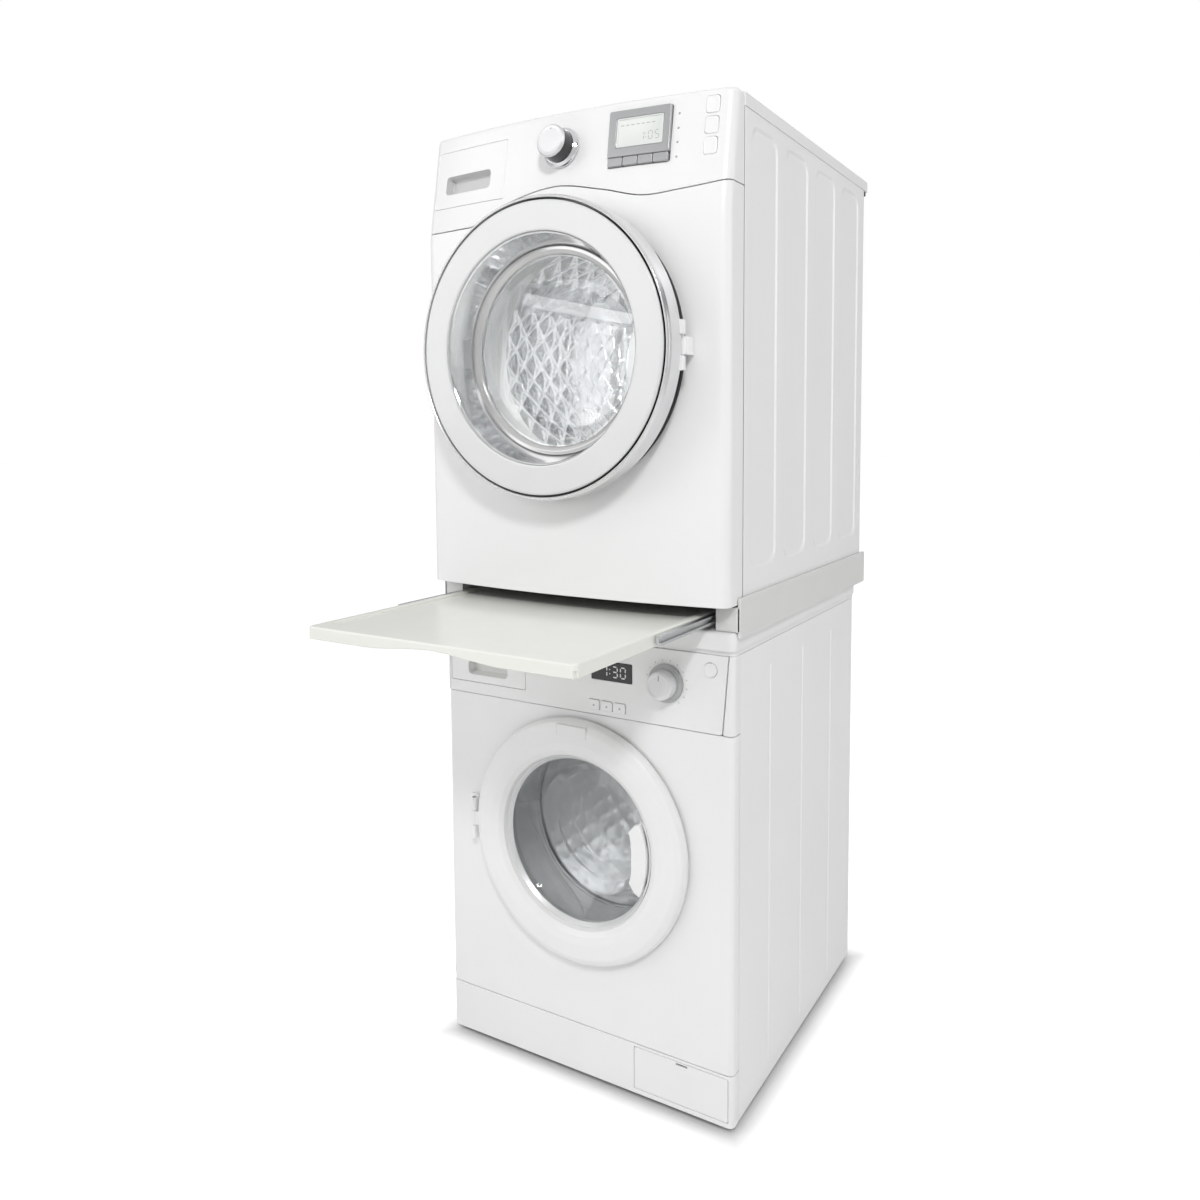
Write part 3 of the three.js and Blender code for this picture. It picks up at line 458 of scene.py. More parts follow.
WHITE = (0.87, 0.872, 0.872)
ENAMEL = enamel_look("baked_enamel", WHITE)
PLASTIC = plastic_look("white_plastic", "white_plastic", (0.86, 0.862, 0.86))
RING_WHITE = plastic_look("ring_plastic", "white_plastic", (0.87, 0.872, 0.87), 0.36, 0.03, 0.2)
CREAM = plastic_look("shelf_plastic", "cream_plastic", (0.83, 0.84, 0.79), 0.36, 0.05, 0.3)
PALE_GREY = plastic_look("frame_paint", "pale_grey_paint", (0.73, 0.735, 0.72), 0.38, 0.08, 0.1)
SILVER = plastic_look("silver_plastic", "silver_plastic", (0.76, 0.765, 0.77), 0.36, 0.04, 0.5)
BEZEL = plastic_look("bezel_plastic", "silver_plastic", (0.43, 0.435, 0.44), 0.34, 0.06, 0.2)
GREY = plastic_look("grey_plastic", "grey_plastic", (0.42, 0.43, 0.44), 0.42, 0.12, 0.0)
BLACK = plastic_look("black_plastic", "black_plastic", (0.012, 0.012, 0.014), 0.18, 0.02, 0.5)
CHROME = metal_look("polished_chrome", "bright_chrome", (0.86, 0.865, 0.875), 0.06, scale=14.0, depth=0.01)
SATIN_CHROME = metal_look("satin_chrome", "bright_chrome", (0.84, 0.84, 0.85), 0.18, scale=220.0)
STEEL = metal_look("brushed_steel", "stainless", (0.66, 0.67, 0.68), 0.36, (1, 14, 1), 60.0)
BACK_STEEL = metal_look("matt_steel", "stainless", (0.95, 0.95, 0.955), 0.5, (1, 1, 1), 60.0)
DRUM_STEEL = metal_look("drum_steel", "stainless", (0.72, 0.725, 0.73), 0.18, (1, 6, 1), 90.0)
TUB_STEEL = metal_look("washer_drum_steel", "stainless", (0.66, 0.665, 0.67), 0.38, (1, 6, 1), 90.0)
DARK_STEEL = metal_look("dark_steel", "dark_steel", (0.16, 0.165, 0.17), 0.42, scale=140.0)
GLASS = glass_look("door_glass", (0.9, 0.93, 0.94), 0.35)
PEARL = plastic_look("pearl_plastic", "silver_plastic", (0.72, 0.725, 0.725), 0.36, 0.03, 0.4)
RIM_WHITE = plastic_look("glass_rim", "silver_plastic", (0.62, 0.62, 0.615), 0.2, 0.03, 0.5)
# Painted shade: a mid grey for the water drawer's finger pocket, darker than the drawer's white plastic to
# stand in for the shade inside the recess.
POCKET_SHADE = plastic_look("pocket_shade_plastic", "grey_plastic", (0.6, 0.6, 0.6), 0.4, 0.05, 0.1)
SPUN = metal_look("spun_face", "bright_chrome", (0.76, 0.76, 0.77), 0.37, scale=90.0)
RUBBER = rubber_look("grey_rubber", "grey_rubber", (0.5, 0.505, 0.51))
BLACK_RUBBER = rubber_look("black_rubber", "black_rubber", (0.02, 0.02, 0.02))
CONCRETE = concrete_look()
SCREEN = screen_look()
for part_metal, share in ((SILVER, 0.25), (BEZEL, 0.4), (RIM_WHITE, 0.5), (CHROME, 0.92),
                          (SATIN_CHROME, 0.85), (BACK_STEEL, 0.35), (SPUN, 0.6)):
    part_metal["shader"].inputs["Metallic"].default_value = share


# ---------- Skins of the fronts ----------
class Front:
    """The front skin of a machine. u runs across the face and round both corners, v is the height."""

    def __init__(self, half, corner, face, back, top=math.inf, cap=1):
        self.half, self.corner, self.face, self.back = half, corner, face, back
        self.flat = half - corner
        self.arc = corner * math.pi / 2
        self.side = back - face(self.flat, 0.0) - corner
        self.reach = self.flat + self.arc + self.side
        self.top, self.cap = top, cap

    def __call__(self, u, v, depth):
        """The point at a depth under the skin. Above top - cap, v rolls over the upper edge."""
        past = max(0.0, v - self.top + self.cap)
        turn = min(past / self.cap, math.pi / 2)
        r = self.cap - depth
        height = min(v, self.top - self.cap) + r * math.sin(turn)
        inset = self.cap - r * math.cos(turn) + max(0.0, past - self.cap * math.pi / 2)
        x, y, nx, ny = self.outline(u, height)
        return x - nx * inset, y - ny * inset, height

    def outline(self, u, z):
        """The plan's point at u and the direction that points out of the machine there."""
        side = 1 if u >= 0 else -1
        a = abs(u)
        if a <= self.flat:
            tiny = 0.5
            slope = (self.face(a + tiny, z) - self.face(a - tiny, z)) / (2 * tiny)
            length = math.hypot(1, slope)
            return side * a, self.face(a, z), side * slope / length, -1 / length
        start = self.face(self.flat, z)
        if a <= self.flat + self.arc:
            turn = (a - self.flat) / self.corner
            x = self.flat + self.corner * math.sin(turn)
            y = start + self.corner * (1 - math.cos(turn))
            return side * x, y, side * math.sin(turn), -math.cos(turn)
        share = (a - self.flat - self.arc) / self.side
        y = start + self.corner
        return side * self.half, y + (self.back - y) * share, side, 0.0

    def columns(self, step):
        """Lines of u that are close together round the corners."""
        right = lines(self.flat, self.flat + self.arc, self.arc / 8) + [self.reach - 0.5 * self.side]
        return [-u for u in reversed(right)] + lines(-self.flat, self.flat, step)[1:-1] + right


# ---------- Cases ----------
def case_wrap(high, corner, press, y_lines, z_lines, back_press=None):
    """Both sides and the back of a case as one bent sheet. press(y, z) is the sides' pressed depth."""
    half = high.x
    path = [(half, y, 1, 0, y) for y in y_lines]
    bends = lines(0, math.pi / 2, math.pi / 16)
    for turn in bends[1:-1]:
        c, s = math.cos(turn), math.sin(turn)
        path.append((half - corner + corner * c, high.y - corner + corner * s, c, s, None))
    path += [(x, high.y, 0, 1, None) for x in lines(half - corner, -half + corner, 6)]
    path += [(-x, y, -nx, ny, side) for x, y, nx, ny, side in reversed(path[: len(y_lines) + 7])]
    vertices, faces = [], []
    for x, y, nx, ny, side in path:
        for z in z_lines:
            deep = press(side, z) if side is not None else 0.0
            if side is None and back_press and ny == 1:
                deep = back_press(x, z)
            vertices.append((x - nx * deep, y - ny * deep, z))
    count = len(z_lines)
    for i in range(len(path) - 1):
        for k in range(count - 1):
            a = i * count + k
            faces.append((a, a + count, a + count + 1, a + 1))
    return vertices, faces


def box_distance(a, b, half_a, half_b, r):
    """How far (a, b) lies outside a rectangle with round corners; below zero inside it."""
    da, db = abs(a) - half_a + r, abs(b) - half_b + r
    return math.hypot(max(da, 0.0), max(db, 0.0)) + min(max(da, db), 0.0) - r


def dense(low, high, coarse, spots, reach, fine):
    """Lines from low to high, fine within reach of each spot and coarse elsewhere."""
    out = set(lines(low, high, coarse))
    for spot in spots:
        out.update(lines(max(low, spot - reach), min(high, spot + reach), fine))
    kept = []
    for value in sorted(out):
        if not kept or value - kept[-1] > 0.45 * fine or value == high:
            kept.append(value)
    return kept


def screw(x, y, z, outward=1):
    """A pan-head screw with a round drive hole, on a face that points along Y."""
    head = [(0, -0.6, 0), (1.3, -0.6), (1.5, 1.6), (3.4, 1.5), (4, 0), (4, -1), (0, -1, 0)]
    shape = spun(head, 0.4, 3, 32)
    if outward < 0:
        shape = moved(shape, Matrix.Rotation(math.pi, 4, "Z"))
    return shifted(shape, x, y, z)


def gland(root, place):
    """A cord inlet on a back. Its root lies inside the sheet."""
    profile = [(3.5, root), (14, root), (14, 1), (9, 2.5), (7, 5), (3.5, 5)]
    return spun(profile, 0.6, 3, 64, place)


# ---------- Nodes that the pieces are measured from ----------
W_PANEL = Span("washer_front_panel")
W_CONTROL = Span("washer_control_panel")
W_TOP = Span("washer_worktop")
W_CASE = Span("washer_cabinet")
W_BASE = Span("washer_base")
W_RING = Span("washer_door_ring")
W_GLASS = Span("washer_door_glass")
D_CASE = Span("dryer_cabinet")
D_PANEL = Span("dryer_front_panel")
D_CONTROL = Span("dryer_control_panel")
D_TOP = Span("dryer_worktop")
D_TRIM = Span("dryer_door_trim")
D_RING = Span("dryer_door_ring")

W_FRONT = W_PANEL.low.y
JOINTS = {joint["name"]: Vector(joint["pos_m"]) / MM for joint in frame["joints"] if "pos_m" in joint}
W_DOOR_Z = JOINTS["washer_drum_spin"].z
D_DOOR_Z = JOINTS["dryer_drum_spin"].z
CONTROLS_Z = JOINTS["dryer_knob_turn"].z


# ---------- Turned shapes in their places ----------
def on_axis(span, y=0.0):
    """The place on the middle of a node, seen from the front, at the depth y."""
    return span.mid.x, y, span.mid.z


def from_door(*points):
    """A profile from radii and depths behind the dryer door's face."""
    return [(r, D_RING.low.y + depth, *own) for r, depth, *own in points]


def turned(profile, name, look, body, replaces=(), segments=192, radius=0.5):
    """A piece turned about the dryer's drum axis."""
    return piece(name, spun(profile, radius, 5, segments, (0, 0, D_DOOR_Z)), look, body, replaces)


# ---------- Washer: case ----------
def washer_front_skin(y):
    return Front(W_PANEL.high.x, 10, lambda x, z: y, W_PANEL.high.y)


def washer_case():
    grooves = [W_FRONT + behind for behind in (145, 296, 451)]
    depth, half_width = 2.4, 3.4
    ends = (W_CASE.low.z + 26, W_CASE.high.z - 40)
    ribs = [W_CASE.low.z + share * W_CASE.size.z for share in (0.26, 0.8)]

    def press(y, z):
        """Upright grooves, each a shallow V that dies out at both ends."""
        fade = smooth_step((z - ends[0]) / 6) * smooth_step((ends[1] - z) / 6)
        near = min(abs(y - groove) for groove in grooves)
        return depth * fade * (1 - smooth_step(near / half_width))

    def back_press(x, z):
        """Two broad ribs across the back."""
        near = min(abs(z - rib) for rib in ribs)
        fade = smooth_step((0.86 * W_CASE.high.x - abs(x)) / 12)
        return 3 * fade * (1 - smooth_step((near - 9) / 5))

    back = W_PANEL.high.y + 0.4
    rear = W_TOP.high.y - 8
    ys = dense(back, rear - 8, 12, grooves, 4, 0.8)
    zs = dense(W_CASE.low.z, W_CASE.high.z, 40, [*ends, *ribs], 16, 1.6)
    high = Vector((W_CASE.high.x, rear, W_CASE.high.z))
    skin = case_wrap(high, 8, press, ys, zs, back_press)
    piece("washer_case_skin", skin, ENAMEL, replaces=["washer_cabinet"], solidify=1.2)
    washer_back(rear)


def washer_back(rear):
    """The service cover, transit bolt caps, screws, hose ends and cord inlet on the washer's back."""
    low, high = W_CASE.low.z, W_CASE.high.z
    cover = rectangle(-170, 170, low + 230, high - 190, 40)
    piece("washer_service_cover", plate(cover, facing_back(rear + 3), 3.2, 2), ENAMEL)
    spots = [(x, z) for x in (-158, 158) for z in (low + 246, high - 206)]
    edge = W_CASE.high.x - 14
    spots += [(x, z) for x in (-edge, edge) for z in (low + 30, high - 30)]
    heads = [screw(x, rear + 3.6 if abs(x) < 200 else rear + 1, z, -1) for x, z in spots]
    piece("washer_back_screws", merge(*heads), STEEL)
    cap = [(0, -1), (19, -1), (22, 2), (17, 4.5), (0, 5)]
    spots = [(x, rear, z) for x in (-215, 215) for z in (low + 190, high - 150)]
    caps = [spun(cap, 1.2, 4, 48, spot) for spot in spots]
    piece("washer_transit_caps", merge(*caps), GREY)
    nozzle = [(5, -2), (18, -2), (18, 1), (13, 2), (13, 7.5), (11, 7.5), (11, 1), (5, 1)]
    ends = [spun(nozzle, 0.5, 2, 64, (x, rear, high - drop)) for x, drop in ((150, 62), (210, 162))]
    piece("washer_hose_ends", merge(*ends), GREY)
    piece("washer_cord_inlet", gland(-2, (-210, rear, high - 112)), BLACK_RUBBER)


def washer_plinth():
    """The plinth, its opening behind the filter flap, the pan behind it and the filter's housing."""
    flap = Span("washer_filter_flap")
    skin = washer_front_skin(W_FRONT)
    top = W_PANEL.low.z - 1.4
    outline = rectangle(-skin.reach, skin.reach, W_BASE.low.z, top)
    rows = lines(W_BASE.low.z + 8, top - 8, 10)
    shape = plate(outline, skin, 4, 1, [flap.outline(3.4, 1)], skin.columns(20), rows, 6)
    piece("washer_plinth", shape, PLASTIC, replaces=["washer_base"])
    pan = rectangle(-290, 290, W_FRONT + 24, W_CASE.high.y - 8, 8)
    piece("washer_pan", plate(pan, facing_up(W_BASE.low.z + 4), 4, 0.8), GREY)
    cap = Span("washer_filter_cap")
    r, front = cap.size.x / 2, cap.low.y
    wall = [(r + 1, front + 6), (r + 4.5, front + 6), (r + 4.5, front + 66), (r + 1, front + 66)]
    piece("washer_filter_housing", spun(wall, 0.8, 3, 96, on_axis(cap)), GREY)


def washer_feet():
    foot = [(0, 0, 0), (20, 0), (23, 2.2), (24, 4), (24, 8.6), (14, 9.6), (11, 13.2), (6, 13.4),
            (6, 36), (0, 36, 0)]

    def lobes(r, y, turn):
        """Twelve finger dents round the foot's rim."""
        return r - 0.7 * max(0.0, math.cos(12 * turn)) if r > 22 else r

    shape = moved(spun(foot, 0.8, 3, 96, shape=lobes), UPRIGHT)
    for i in range(1, 5):
        middle = Span(f"washer_foot_{i}").mid
        pad = shifted(shape, middle.x, middle.y)
        piece(f"washer_foot_pad_{i}", pad, BLACK_RUBBER, replaces=[f"washer_foot_{i}"])


def washer_front():
    """The flat front panel, folded round both corners, with a rolled lip round the door opening."""
    skin = washer_front_skin(W_FRONT)
    top = W_CONTROL.low.z - 1.6
    outline = rectangle(-skin.reach, skin.reach, W_PANEL.low.z, top)
    opening = circle(172, 0, W_DOOR_Z)
    rows = lines(120, 660, 30)
    shape = plate(outline, skin, 4, 1.4, [opening], skin.columns(24), rows, 8)
    piece("washer_front_skin", shape, ENAMEL, replaces=["washer_front_panel"])


def washer_top():
    outline = rectangle(-300, 300, W_TOP.low.y + 0.4, W_TOP.high.y, 14, 10)
    low = W_TOP.low.z + 9
    slab = plate(outline, facing_up(W_TOP.high.z), W_TOP.high.z - low, 5, steps=6)
    piece("washer_top_slab", slab, PLASTIC, replaces=["washer_worktop"])
    inner = rectangle(-297.5, 297.5, W_FRONT + 0.6, W_TOP.high.y - 3, 11, 8)
    skirt = plate(inner, facing_up(low - 1), low - W_TOP.low.z - 1, 0.6)
    piece("washer_top_skirt", skirt, PLASTIC)


def filter_door():
    flap = Span("washer_filter_flap")
    slot = rectangle(flap.mid.x - 8, flap.mid.x + 14, flap.high.z - 6, flap.high.z - 2.4, 1.6)
    shape = plate(flap.outline(3), facing_front(flap.low.y), 3.4, 0.9, [slot])
    piece("filter_flap_skin", shape, PLASTIC, "filter_flap", ["washer_filter_flap"])
    cap = Span("washer_filter_cap")
    r, front = cap.size.x / 2, cap.low.y
    disc = [(0, 9, 0), (r - 6, 9), (r - 4, 8), (r, 8.5), (r, 19), (0, 19, 0)]

    def knurl(radius, y, turn):
        return radius - 0.5 * (math.cos(36 * turn) > 0) if radius > r - 1 else radius

    body = spun(disc, 0.8, 3, 144, on_axis(cap, front), knurl)
    thread = spun([(0, 19, 0), (r - 4, 19), (r - 4, 52), (0, 52, 0)], 1, 5, 160, on_axis(cap, front))
    grip = rectangle(cap.mid.x - 20, cap.mid.x + 20, cap.mid.z - 4, cap.mid.z + 4, 3.9)
    bar = plate(grip, facing_front(front), 10, 1.6)
    piece("filter_cap_body", merge(body, thread, bar), GREY, "filter_cap", ["washer_filter_cap"])


# ---------- Washer: controls ----------
def pocket(outline, depth, draft, place):
    """The inside of a finger recess: walls that lean in to a rounded floor."""
    loop = wound(outline, True)
    steps_in = inward(loop)
    vertices, faces, previous = [], [], None
    profile = [(0.0, 0.0), (draft * 0.4, depth * 0.55)]
    for turn in lines(0, math.pi / 2, math.pi / 12):
        inset = draft * 0.5 + draft * 0.5 * (1 - math.cos(turn))
        profile.append((inset, depth * (0.6 + 0.4 * math.sin(turn))))
    for inset, deep in profile:
        ring, numbers = add_ring(vertices, loop, steps_in, inset, place, deep)
        if previous:
            faces += between(previous, numbers)
        previous = numbers
    faces += fill([ring], [numbers], [], vertices, lambda u, v: place(u, v, depth))
    return vertices, faces


def washer_fascia():
    """The control panel: a face whose ends slant, between two end pieces that fold round the corners."""
    y = W_CONTROL.low.y
    low, high = W_CONTROL.low.z, W_CONTROL.high.z
    drawer, display = Span("washer_detergent_drawer"), Span("washer_display")
    start, knob = Span("washer_start_button"), Span("washer_knob")
    slant, foot = 288, 277
    holes = [
        drawer.outline(3, 0.8),
        display.outline(2, 0.3),
        circle(start.size.x / 2 + 0.5, start.mid.x, start.mid.z, 64),
        circle(6, knob.mid.x, knob.mid.z, 48),
    ]
    holes += [Span(f"washer_button_{i}").outline(2.4, 0.4) for i in (1, 2, 3)]
    drawer_edge = drawer.low.x - 2.4
    outer = [(drawer_edge - 1, low), (foot, low, 4), (slant, high), (drawer_edge - 1, high)]
    face = plate(rounded(outer, 1, 4), facing_front(y), 3.6, 0.9, holes)
    piece("washer_fascia", face, PLASTIC, replaces=["washer_control_panel"])
    skin = washer_front_skin(y + 0.4)
    right = [(foot + 2.2, low), (skin.reach, low), (skin.reach, high), (slant + 2.2, high)]
    left = [(-skin.reach, low), (drawer_edge - 2.4, low), (drawer_edge - 2.4, high), (-skin.reach, high)]
    columns = [u for u in skin.columns(24) if abs(u) > foot]
    rows = lines(low + 6, high - 6, 8)
    ends = [plate(rounded(loop, 0.6, 2), skin, 3.4, 0.8, (), columns, rows, 2) for loop in (right, left)]
    piece("washer_fascia_ends", merge(*ends), PLASTIC)
    back = rectangle(-292, 292, low + 1, high - 1)
    backing = plate(back, facing_front(y + 4.2), 1, 0.3, [finer(hole, 20) for hole in holes])
    piece("washer_fascia_frame", backing, GREY)


def washer_detergent():
    """The detergent drawer: a face with a finger pocket, and a tray with three cells."""
    span = Span("washer_detergent_drawer")
    low, high = span.low, span.high
    grip = rectangle(-245, -155, low.z + 14, low.z + 40, 9)
    face = plate(span.outline(3), facing_front(low.y), 18, 1.2, [grip])
    hollow = pocket(grip, 14, 6, facing_front(low.y + 0.8))
    piece("detergent_face", face, PLASTIC, "detergent_drawer", ["washer_detergent_drawer"])
    piece("detergent_grip_pocket", hollow, PALE_GREY, "detergent_drawer")
    sides = ((-274, -222), (-218, -180), (-176, -126))
    cells = [rectangle(left, right, low.y + 24, high.y - 4, 9) for left, right in sides]
    tray = rectangle(low.x + 5, high.x - 5, low.y + 18.4, high.y, 8)
    rim = high.z - 14
    walls = plate(tray, facing_up(rim), rim - low.z - 15, 1, cells)
    bottom = plate(tray, facing_up(low.z + 14.8), 2.6, 0.4)
    piece("detergent_tray", merge(walls, bottom), PALE_GREY, "detergent_drawer")


def washer_dial():
    """The programme knob: a skirt ring, a ribbed rim and a spun face with a pointer."""
    span = Span("washer_knob")
    front = span.low.y
    grip = [(0, 1.2, 0), (17, 1.2), (20.5, 0, 1.2), (23.4, 1.6), (24.4, 19), (22, 20.4), (0, 20.4, 0)]

    def ribs(r, y, turn):
        return r - 0.35 * (0.5 + 0.5 * math.cos(60 * turn)) if r > 23 else r

    cap = spun(grip, 0.9, 4, 360, on_axis(span, front), ribs)
    piece("washer_knob_cap", cap, SILVER, "washer_knob", ["washer_knob"])
    ring = [(21, 18.8), (27, 18.8), (31.4, 21), (32, 24), (32, 27.4), (21, 27.4)]
    piece("washer_knob_ring", spun(ring, 1, 4, 160, on_axis(span, front)), BEZEL, "washer_knob")
    mark = rectangle(span.mid.x - 0.9, span.mid.x + 0.9, span.mid.z + 9, span.mid.z + 19, 0.8)
    piece("washer_knob_mark", plate(mark, facing_front(front + 0.5), 1, 0.2), GREY, "washer_knob")


def program_marks():
    """Small raised dots round the washer's knob."""
    span = Span("washer_knob")
    dot = [(0, -0.35, 0), (0.9, -0.35), (1.1, 0.3), (0, 0.3, 0)]
    turns = [math.radians(-143 + i * 22) for i in range(14)]
    spots = [(span.mid.x + 38 * math.sin(turn), span.mid.z + 38 * math.cos(turn)) for turn in turns]
    dots = [spun(dot, 0.2, 2, 20, (x, W_CONTROL.low.y, z)) for x, z in spots]
    piece("washer_program_marks", merge(*dots), GREY)


def bars(digit, x, z, width, height, thick):
    """The lit bars of one seven-bar figure as outlines."""
    lit = {"0": "abcdef", "1": "bc", "2": "abged", "3": "abgcd", "4": "fgbc", "5": "afgcd"}[digit]
    half, gap, side, r = height / 2, 0.6 * thick, thick / 2, 0.45 * thick
    across = {"a": z + height, "g": z + half, "d": z}
    standing = {"f": (x, z + half), "b": (x + width, z + half), "e": (x, z), "c": (x + width, z)}
    shapes = []
    for bar in lit:
        if bar in across:
            v = across[bar]
            shapes.append(rectangle(x + gap, x + width - gap, v - side, v + side, r, 2))
        else:
            u, v = standing[bar]
            shapes.append(rectangle(u - side, u + side, v + gap, v + half - gap, r, 2))
    return shapes


def washer_window():
    """The washer's black display window with a plain time in white bars."""
    span = Span("washer_display")
    shape = plate(span.outline(2), facing_front(span.low.y), 8, 0.7)
    piece("washer_display_window", shape, BLACK, replaces=["washer_display"])
    lit = []
    for i, digit in enumerate("130"):
        x = span.low.x + 22 + 16 * i + (5 if i else 0)
        lit += bars(digit, x, span.mid.z - 9, 9.6, 18, 2.2)
    lit += [circle(1.2, span.low.x + 37.4, span.mid.z + z, 16) for z in (-3.6, 3.6)]
    shapes = [plate(loop, facing_front(span.low.y - 0.12), 0.5, 0.1) for loop in lit]
    piece("washer_display_bars", merge(*shapes), SCREEN)


def washer_keys():
    for i in (1, 2, 3):
        span = Span(f"washer_button_{i}")
        shape = plate(span.outline(2.6), facing_front(span.low.y), 8, 1)
        piece(f"washer_key_{i}", shape, RING_WHITE, f"washer_button_{i}", [f"washer_button_{i}"])
        corners = [(span.mid.x + x, span.mid.z + z) for x, z in ((-2.4, -2), (2.4, -2), (0, 2.4))]
        sign = plate(rounded(corners, 0.5, 2), facing_front(span.low.y - 0.1), 0.5, 0.1)
        piece(f"washer_key_sign_{i}", sign, GREY, f"washer_button_{i}")
    span = Span("washer_start_button")
    r, front = span.size.x / 2, span.low.y
    button = [(0, 0.9, 0), (r - 4, 0.7), (r - 0.2, 0), (r, 1.4), (r, 12), (0, 12, 0)]
    shape = spun(button, 0.7, 3, 96, on_axis(span, front))
    piece("washer_start_cap", shape, PLASTIC, "washer_start_button", ["washer_start_button"])


# ---------- Washer: door ----------
def washer_door():
    """The white door ring, its blank badge, the pull plate, the glass bowl and the hinge."""
    r, inner, face = 218, 152, W_RING.low.y
    skin = [(inner, face + 15), (inner + 3, face + 8), (inner + 12, face + 3),
            (178, face + 0.2, 20), (203, face + 0.8, 16), (214, face + 6, 8),
            (r, face + 15, 5), (r, face + 22.5), (r - 4, face + 22.5),
            (204, face + 8, 6), (178, face + 6, 10), (158, face + 13),
            (158, face + 22.5), (inner, face + 22.5)]
    ring = spun(skin, 2, 8, 256, (0, 0, W_DOOR_Z))
    piece("washer_ring_skin", ring, RING_WHITE, "washer_door", ["washer_door_ring"])
    badge = rectangle(-30, 30, W_DOOR_Z + 188, W_DOOR_Z + 209, 3)
    middle = W_DOOR_Z + 198.5
    rim = [(u * 1.04, middle + (v - middle) * 1.12) for u, v in badge]
    piece("washer_badge", plate(badge, facing_front(face + 0.05), 3, 0.5), PLASTIC, "washer_door")
    piece("washer_badge_seat", plate(rim, facing_front(face + 0.55), 3, 0.2), PALE_GREY, "washer_door")
    washer_glass()
    washer_pull()
    washer_hinge()


def washer_glass():
    face = W_GLASS.low.y
    bowl = [(0, face + 72.6, 0), (70, face + 71.6, 40), (101, face + 67, 14),
            (118, face + 54, 12), (139, face + 9, 8), (144, face + 3, 4),
            (151, face), (151, face + 4.6), (146, face + 7, 3),
            (122, face + 58, 14), (103, face + 73, 16),
            (70, face + 77.6, 40), (0, face + 78.6, 0)]
    shape = spun(bowl, 2, 8, 200, (0, 0, W_DOOR_Z))
    piece("washer_glass_bowl", shape, GLASS, "washer_door", ["washer_door_glass"])
    clamp = [(150, face - 8), (151.8, face - 8), (151.8, face - 0.4), (144.5, face - 0.4), (144.8, face - 2)]
    piece("washer_glass_clamp", spun(clamp, 0.5, 3, 200, (0, 0, W_DOOR_Z)), SILVER, "washer_door")


def washer_pull():
    """The pull plate: its free edge curves round the glass between two pointed corners."""
    span = Span("washer_door_handle")
    z, outer, tip = W_DOOR_Z, 148, 0.44
    arc = [(outer * math.cos(t), z + outer * math.sin(t)) for t in lines(-tip, tip, 0.03)]
    left = span.low.x
    edge = [(left + 3 + 3 * (1 - t * t) - 3 * t**8, z + 43 * t) for t in lines(1, -1, -0.1)]
    outline = arc + [(left + 12, z + 58)] + edge + [(left + 12, z - 58)]

    def place(u, v, depth):
        return u, span.low.y + depth + 1.6 * smooth_step((128 - u) / 16), v

    shape = plate(outline, place, 6.4, 1.8, us=lines(112, 148, 3), vs=lines(z - 60, z + 60, 4), steps=5)
    piece("washer_pull_plate", shape, RING_WHITE, "washer_handle", ["washer_door_handle"])
    turns = lines(-0.42, 0.42, 0.03)
    far = [(152.6 * math.cos(t), z + 152.6 * math.sin(t)) for t in turns]
    near = [(150.2 * math.cos(t), z + 150.2 * math.sin(t)) for t in turns[::-1]]
    inner = [(x, z + rise) for x, rise in ((127, 60), (121, 40), (120, 0), (121, -40), (127, -60))]
    bottom = plate(far + inner, facing_front(W_FRONT - 8), 2.4, 0.6)
    wall = plate(far + near, facing_front(W_FRONT - 17), 9.4, 0.6)
    piece("washer_pull_recess", merge(bottom, wall), RING_WHITE, "washer_door")
    barrel = upright(3.8, 46, 138, span.high.y - 5.8, z)
    piece("washer_pull_barrel", barrel, STEEL, "washer_handle")


def washer_hinge():
    """The hinge's leaf with two arms and a pin, and the door's knuckle between the arms."""
    span = Span("washer_door_hinge")
    x, y, z = -226, span.low.y + 5, W_DOOR_Z
    leaf = rectangle(span.low.x, span.low.x + 14, z - 40, z + 40, 3)
    shapes = [plate(leaf, facing_front(W_FRONT - 4), 3.6, 1)]
    for arm_z in (z - 26, z + 26):
        arm = rectangle(x - 8, x + 5, arm_z - 12, arm_z + 12, 2)
        shapes += [plate(arm, facing_front(y), 14, 0.8), upright(4.8, 12, x, y, arm_z)]
    shapes.append(upright(2, 38, x, y, z))
    piece("washer_hinge_leaf", merge(*shapes), ENAMEL, replaces=["washer_door_hinge"])
    knuckle = upright(4.8, 13, x, y, z)
    arm = rectangle(x, x + 13, z - 12.5, z + 12.5, 2)
    bridge = plate(arm, facing_front(y - 2.6), 5.4, 0.8)
    piece("washer_hinge_knuckle", merge(knuckle, bridge), RING_WHITE, "washer_door")


# ---------- Washer: works ----------
def washer_seal():
    span = Span("washer_gasket")
    fold = [(159, 9), (158.4, 1), (168, 0.4), (179, 0.4), (179.4, 4), (168, 8.4), (175.6, 25), (163.5, 47.4),
            (169.6, 88.6), (163, 88.8), (155.6, 47), (168.2, 26)]
    shape = spun(fold, 4, 6, 160, on_axis(span, span.low.y))
    piece("washer_door_gasket", shape, RUBBER, replaces=["washer_gasket"])


def lifter(r, height, width, y0, y1, turn):
    """A hollow-looking rib with a soft crest, on the inside of a drum."""
    vertices, faces = [], []
    rows = lines(y0, y1, (y1 - y0) / 24)
    across = lines(-1, 1, 0.1)
    ramp = 24
    for y in rows:
        ends = smooth_step((y - y0) / ramp) * smooth_step((y1 - y) / ramp)
        for t in across:
            rise = height * ends * smooth_step((1 - abs(t)) * 1.5)
            angle = turn + t * width / (2 * r)
            reach = r - rise
            vertices.append((reach * math.sin(angle), y, reach * math.cos(angle)))
    count = len(across)
    for i in range(len(rows) - 1):
        for k in range(count - 1):
            a = i * count + k
            faces.append((a, a + 1, a + count + 1, a + count))
    return vertices, faces


